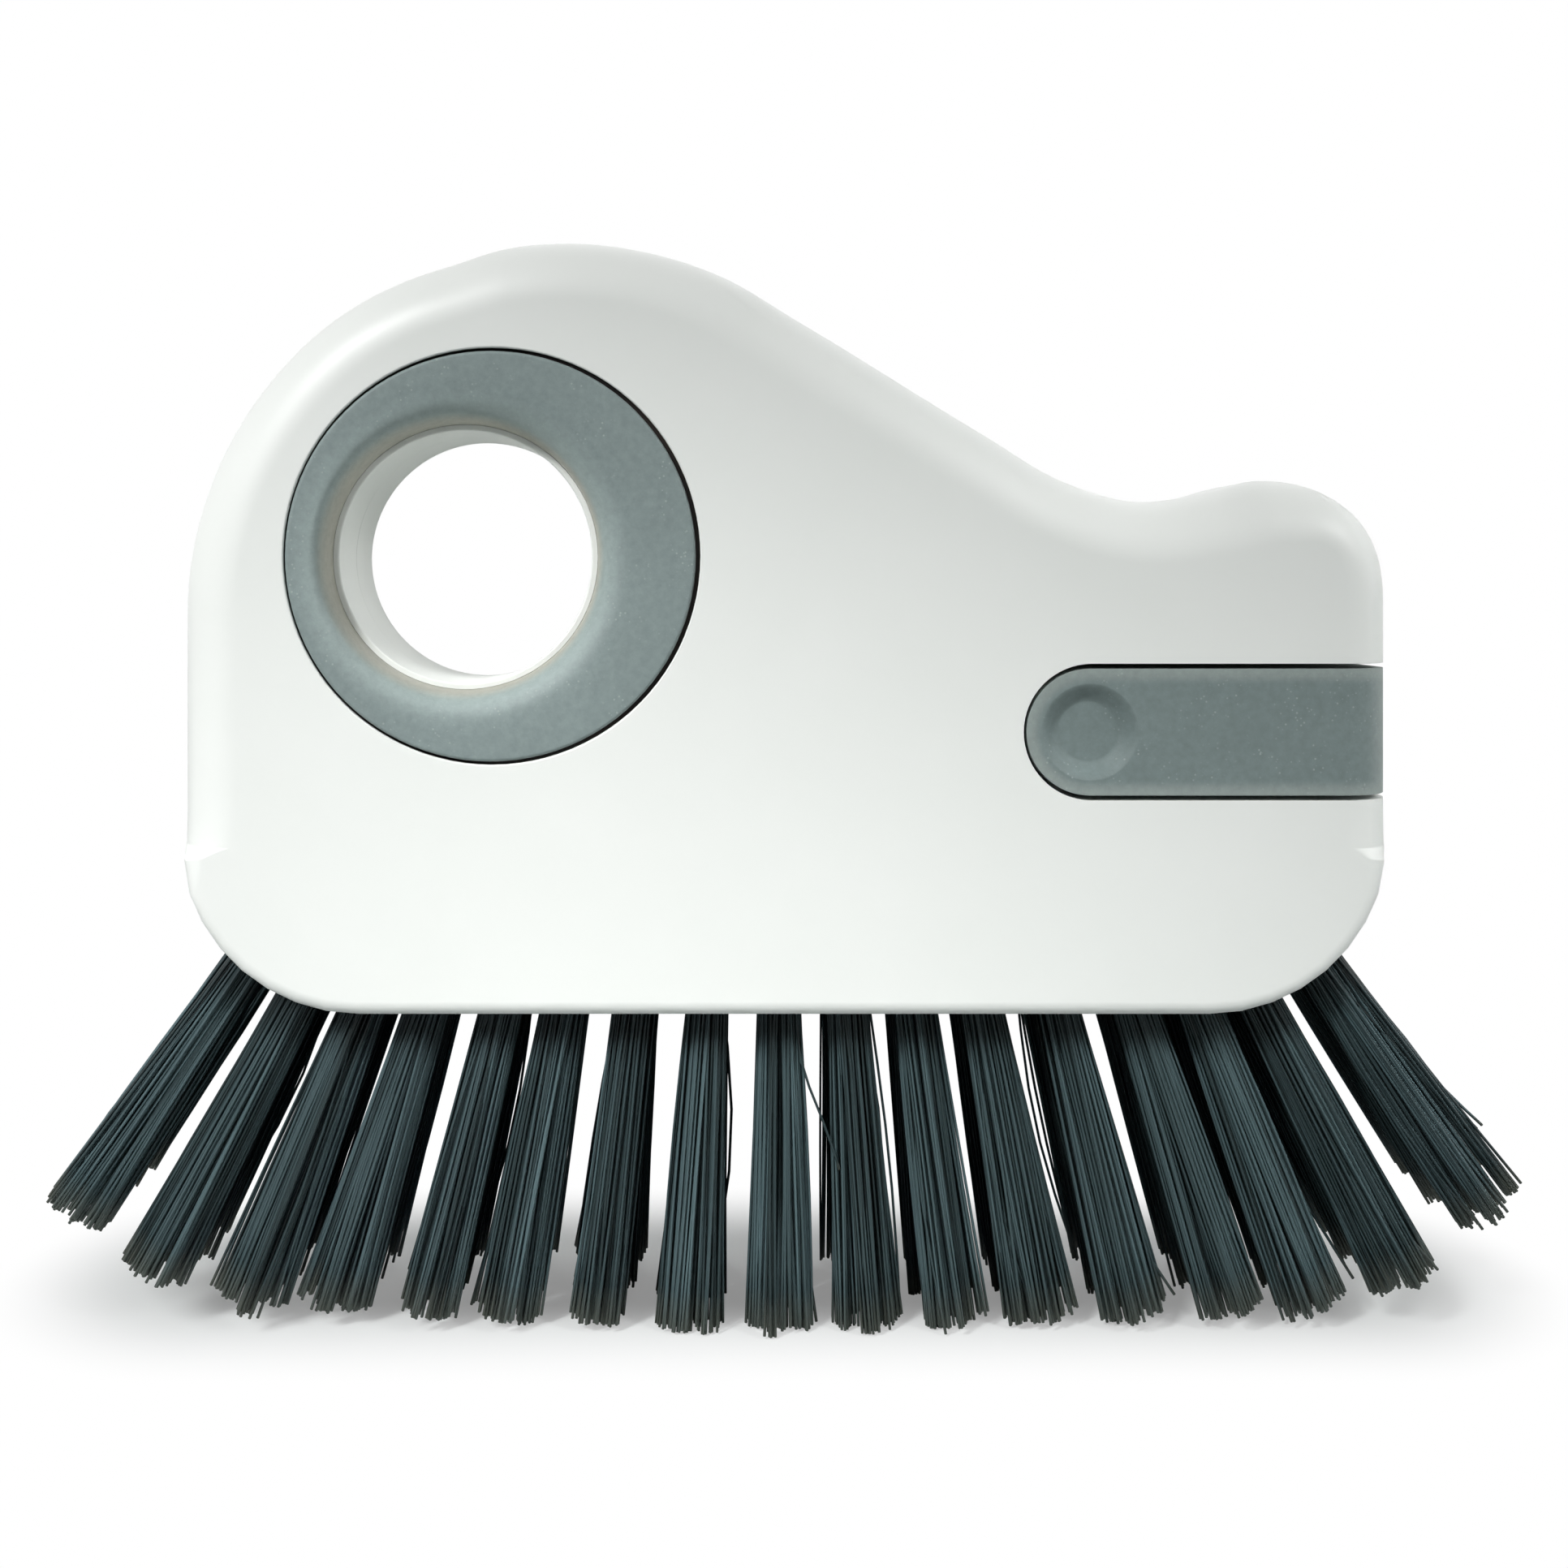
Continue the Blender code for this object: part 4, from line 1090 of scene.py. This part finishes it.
shaft_end = stem_right - flange_thickness / 2
stem = rounded_bar(stem_left, shaft_end, stem_width / 2, stem_height / 2, stem_rounding)
stem.name = "narrow_brush_stem"
stem.data.materials.append(stem_polypropylene)
flange = rounded_bar(stem_right - flange_thickness, stem_right, flange_half, flange_high, flange_rounding)
combine(stem, flange, "UNION")
socket_room = (crevice_width / 2 + seam_gap, crevice_height / 2 + seam_gap)
combine(stem, slot_box(stem_left - overrun, stem_left + socket_depth, *socket_room))
finish(stem, "pull_out_brush", "stem", "crevice_stem")

# %% [markdown]
# ## Block
# The block between the shells only shows as a thin line at the ends and between the tufts. Its shape in
# the frame is right as it is, so it stays and only gets its plastic.

# %% Block
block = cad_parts["brush_block"]
for holder in block.material_slots:
    holder.material = block_polypropylene
print("block slots:", len(block.material_slots))

# %% [markdown]
# ## Tufts
# Seventeen columns of three tufts fan out of the block, each tuft a bundle of straight cut filaments.
# Hair systems would look right but export badly, and a cone with a bump map has no tips. So every
# filament is a thin curve of a few points with a real thickness, drawn as one curve object a column and
# turned into a mesh. Filaments start packed in the hole, then lean out. Those of one clump lean the same
# way, which gives the streaks of light and dark that a real tuft has. The middle row stands in the shade
# of the other two, so it is nearly black.

# %% Sizes of the tufts
column_pitch = 7.0 * mm
columns_each_side = 8
row_pitch = 7.0 * mm
row_light = {-1: 1.0, 0: 0.15, 1: 1.0}  # what the shades of each row are multiplied by
bundle_radius = 2.3 * mm
bristle_length = 33.1 * mm
corner_trim = 3.4 * mm
fan_step = math.radians(3.5)
corner_fan_share = 0.15
row_lean = math.radians(2.0)
block_reveal = 0.3 * mm
root_depth = 3.0 * mm
filament_radius = 0.15 * mm
filaments_per_tuft = 150
filament_points = 6
clumps_per_tuft = 14
clump_drift = 0.36 * mm  # how far a clump leans away from its tuft
clump_length = 0.22 * mm  # how much longer or shorter a clump is
clump_pull = 0.45  # how far filaments close up to the middle of their clump
clump_share = 0.65  # of the shade: the rest is each filament's own
loose_share = 0.02  # how many filaments stand off their tuft
loose_times = 5  # how much further those stand off
tip_scatter = 0.15 * mm
tip_crown = 0.012  # how much shorter the outermost filaments are cut, as a share
tip_length = 0.18 * mm
bow_size = 0.17 * mm
splay = (1.70, 1.50)  # how much wider than its hole a tuft is at the tips, along X and Y
splay_power = 1.15
limits = (74.9 * mm, 12.8 * mm, 0.2 * mm)  # the frame's box, which no filament leaves: X, Y and lowest Z
column_shift_shares = {  # how far a column stands off its even place, as a share of the pitch
    -7: -0.06, -6: -0.12, -5: -0.18, -4: -0.10, -3: -0.20, -2: -0.16, -1: -0.10, 0: -0.04,
    1: -0.05, 2: -0.08, 3: -0.10, 4: 0.02, 5: 0.12, 6: 0.08, 7: -0.06,
}
# Millimetres by which a column is shorter than the longest ones.
column_trims = {-6: 0.6, -5: 0.7, -4: 0.7, -3: 0.7, -2: 0.6, 1: 0.2, 2: 0.4, 3: 0.4, 4: 0.4, 5: 0.4}


def corner_turn_of(column):
    """How far along the head's edge a column stands, and how far that is round the corner."""
    along = (column + column_shift_shares.get(column, 0)) * column_pitch
    return along, max(0, abs(along) - flat_half) / head_corner


def tuft_frame(column, row):
    """Where a tuft leaves the block: its frame, with -Z along the bristles."""
    along, turn = corner_turn_of(column)
    side = 1 if along > 0 else -1
    radius = head_corner - block_reveal
    x = max(-flat_half, min(flat_half, along)) + side * radius * math.sin(turn)
    z = head_bottom + head_corner - radius * math.cos(turn)
    fan = fan_step * column + side * corner_fan_share * turn
    place = Matrix.Translation((x, 0, z)) @ Matrix.Rotation(-fan, 4, "Y")
    return place @ Matrix.Translation((0, row * row_pitch, 0)) @ Matrix.Rotation(row * row_lean, 4, "X")


tufts_in_all = len(row_light) * (2 * columns_each_side + 1)
print("tufts:", tufts_in_all, "of", filaments_per_tuft, "filaments")

# %% Filaments
def disc_point(rng):
    """An even random point in a round hole of radius one."""
    angle, radius = rng.uniform(0, 2 * math.pi), math.sqrt(rng.random())
    return Vector((radius * math.cos(angle), radius * math.sin(angle)))


def scatter(rng, size):
    """A random step of about this size in any direction across the bristles."""
    return Vector((rng.gauss(0, size), rng.gauss(0, size)))


def kept_inside(path):
    """The path, ended where it would leave the frame's box."""
    for index, place in enumerate(path):
        place.x = max(-limits[0], min(limits[0], place.x))
        place.y = max(-limits[1], min(limits[1], place.y))
        if place.z < limits[2]:
            before = path[index - 1]
            path[index] = before.lerp(place, (before.z - limits[2]) / (before.z - place.z))
    return path


def tuft_filaments(place, length, light, rng):
    """The filaments of one tuft: each a shade and its points from root to tip."""
    clumps = [
        (disc_point(rng), scatter(rng, clump_drift), rng.gauss(0, clump_length), rng.random())
        for _ in range(clumps_per_tuft)
    ]
    filaments = []
    for _ in range(filaments_per_tuft):
        spot = disc_point(rng)
        centre, drift, longer, clump_shade = min(clumps, key=lambda clump: (clump[0] - spot).length)
        root = spot * (bundle_radius - filament_radius)
        pulled = (centre - spot) * bundle_radius * clump_pull
        loose = loose_times if rng.random() < loose_share else 1
        tip = Vector((root.x * splay[0], root.y * splay[1]))
        tip = tip + drift + pulled + scatter(rng, tip_scatter * loose)
        reach = length * (1 - tip_crown * spot.length_squared) + longer + rng.gauss(0, tip_length)
        bow = scatter(rng, bow_size * loose)
        path = [place @ Vector((root.x, root.y, root_depth))]
        for step in range(filament_points):
            share = step / (filament_points - 1)
            across = root + (tip - root) * share ** splay_power + bow * math.sin(math.pi * share)
            path.append(place @ Vector((across.x, across.y, -reach * share)))
        shade = light * (clump_share * clump_shade + (1 - clump_share) * rng.random())
        filaments.append((shade, kept_inside(path)))
    return filaments


def grown(name, filaments, body, slot, node):
    """Filaments as thin rods in one mesh, each with its shade and its run from root to tip."""
    curve = bpy.data.curves.new(name, "CURVE")
    curve.dimensions = "3D"
    curve.bevel_depth = filament_radius
    curve.bevel_resolution = 0
    for _, path in filaments:
        spline = curve.splines.new("POLY")
        spline.points.add(len(path) - 1)
        for point, place in zip(spline.points, path):
            point.co = (*place, 1)
    data = curve_to_mesh(curve)
    count = len(filaments[0][1])
    sides = len(data.vertices) // (count * len(filaments))
    shades = [shade for shade, _ in filaments for _ in range(count * sides)]
    runs = [step / (count - 1) for _ in filaments for step in range(count) for _ in range(sides)]
    for label, values in (("shade", shades), ("along", runs)):
        data.attributes.new(label, "FLOAT", "POINT").data.foreach_set("value", values)
    mesh = bmesh.new()
    mesh.from_mesh(data)
    bmesh.ops.holes_fill(mesh, edges=[edge for edge in mesh.edges if edge.is_boundary], sides=sides)
    bmesh.ops.recalc_face_normals(mesh, faces=mesh.faces)
    mesh.to_mesh(data)
    mesh.free()
    data.name = name
    data.materials.clear()
    data.materials.append(black_nylon)
    data.shade_smooth()
    piece = add_object(name, data)
    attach(piece, body)
    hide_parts(node)


# %% [markdown]
# A used brush has a few bristles that stand out. Those that show in the photograph are listed one by one:
# one that bows from the ninth tuft to the tenth, and short ones that have sprung out of the last tuft.

# %% Stray bristles
def stray(shade, *places):
    """One filament through a few places in millimetres, with as many points as the others."""
    chain = [Vector(place) * mm for place in places]
    path = []
    for step in range(filament_points + 1):
        run = step / filament_points * (len(chain) - 1)
        index = min(int(run), len(chain) - 2)
        path.append(chain[index].lerp(chain[index + 1], run - index))
    return shade, path


strays = {
    9: [
        stray(0.15, (1.2, -8.0, 33.5), (1.5, -8.5, 29.5), (1.9, -8.8, 26.2), (3.4, -9.0, 22.8),
              (5.2, -9.2, 17.9), (5.7, -9.2, 16.2)),
    ],
    17: [
        stray(0.5, (55.6, -8.0, 37.4), (61.5, -8.2, 31.0), (65.4, -8.4, 26.2), (68.6, -8.5, 22.9),
              (71.2, -8.6, 20.5)),
        stray(0.7, (55.2, -8.2, 37.2), (61.0, -8.4, 30.8), (65.2, -8.6, 25.9), (68.0, -8.8, 22.8),
              (70.6, -8.8, 20.2)),
        stray(0.3, (54.9, -8.4, 37.0), (60.6, -8.6, 30.5), (64.9, -8.8, 25.6), (67.6, -8.9, 22.4),
              (69.9, -9.0, 19.8)),
    ],
}
print("strays:", sum(len(group) for group in strays.values()))

# %% Columns of tufts
for column in range(-columns_each_side, columns_each_side + 1):
    number = column + columns_each_side + 1
    rng = random.Random(400 + number)
    length = bristle_length - corner_trim * corner_turn_of(column)[1] ** 2 - column_trims.get(column, 0) * mm
    filaments = strays.get(number, [])
    for row, light in row_light.items():
        filaments = filaments + tuft_filaments(tuft_frame(column, row), length, light, rng)
    grown(f"filaments_{number:02d}", filaments, "body", "bristles", f"tuft_column_{number:02d}")
print("filaments:", filaments_per_tuft * tufts_in_all)

# %% [markdown]
# ## Bristles of the narrow brush
# The same filaments, packed in the stem's flat socket.

# %% Narrow tuft
crevice_length = 11.0 * mm
shortest_share = 0.96
socket_reach = 3.8 * mm
crevice_splay = 0.24
crevice_filaments = 260
rng = random.Random(77)
filaments = []
for _ in range(crevice_filaments):
    high = rng.uniform(-1, 1) * (crevice_height / 2 - filament_radius)
    deep = rng.uniform(-1, 1) * (crevice_width / 2 - filament_radius)
    reach = crevice_length * rng.uniform(shortest_share, 1.0)
    path = []
    for step in range(filament_points + 1):
        run = -socket_reach + (reach + socket_reach) * step / filament_points
        wider = 1 + crevice_splay * max(0, run / crevice_length)
        path.append(Vector((stem_left - run, deep * wider, slot_z + high * wider)))
    filaments.append((rng.random(), path))
grown("narrow_brush_filaments", filaments, "pull_out_brush", "crevice_bristles", "crevice_tuft")
print("narrow brush:", len(filaments), "filaments")
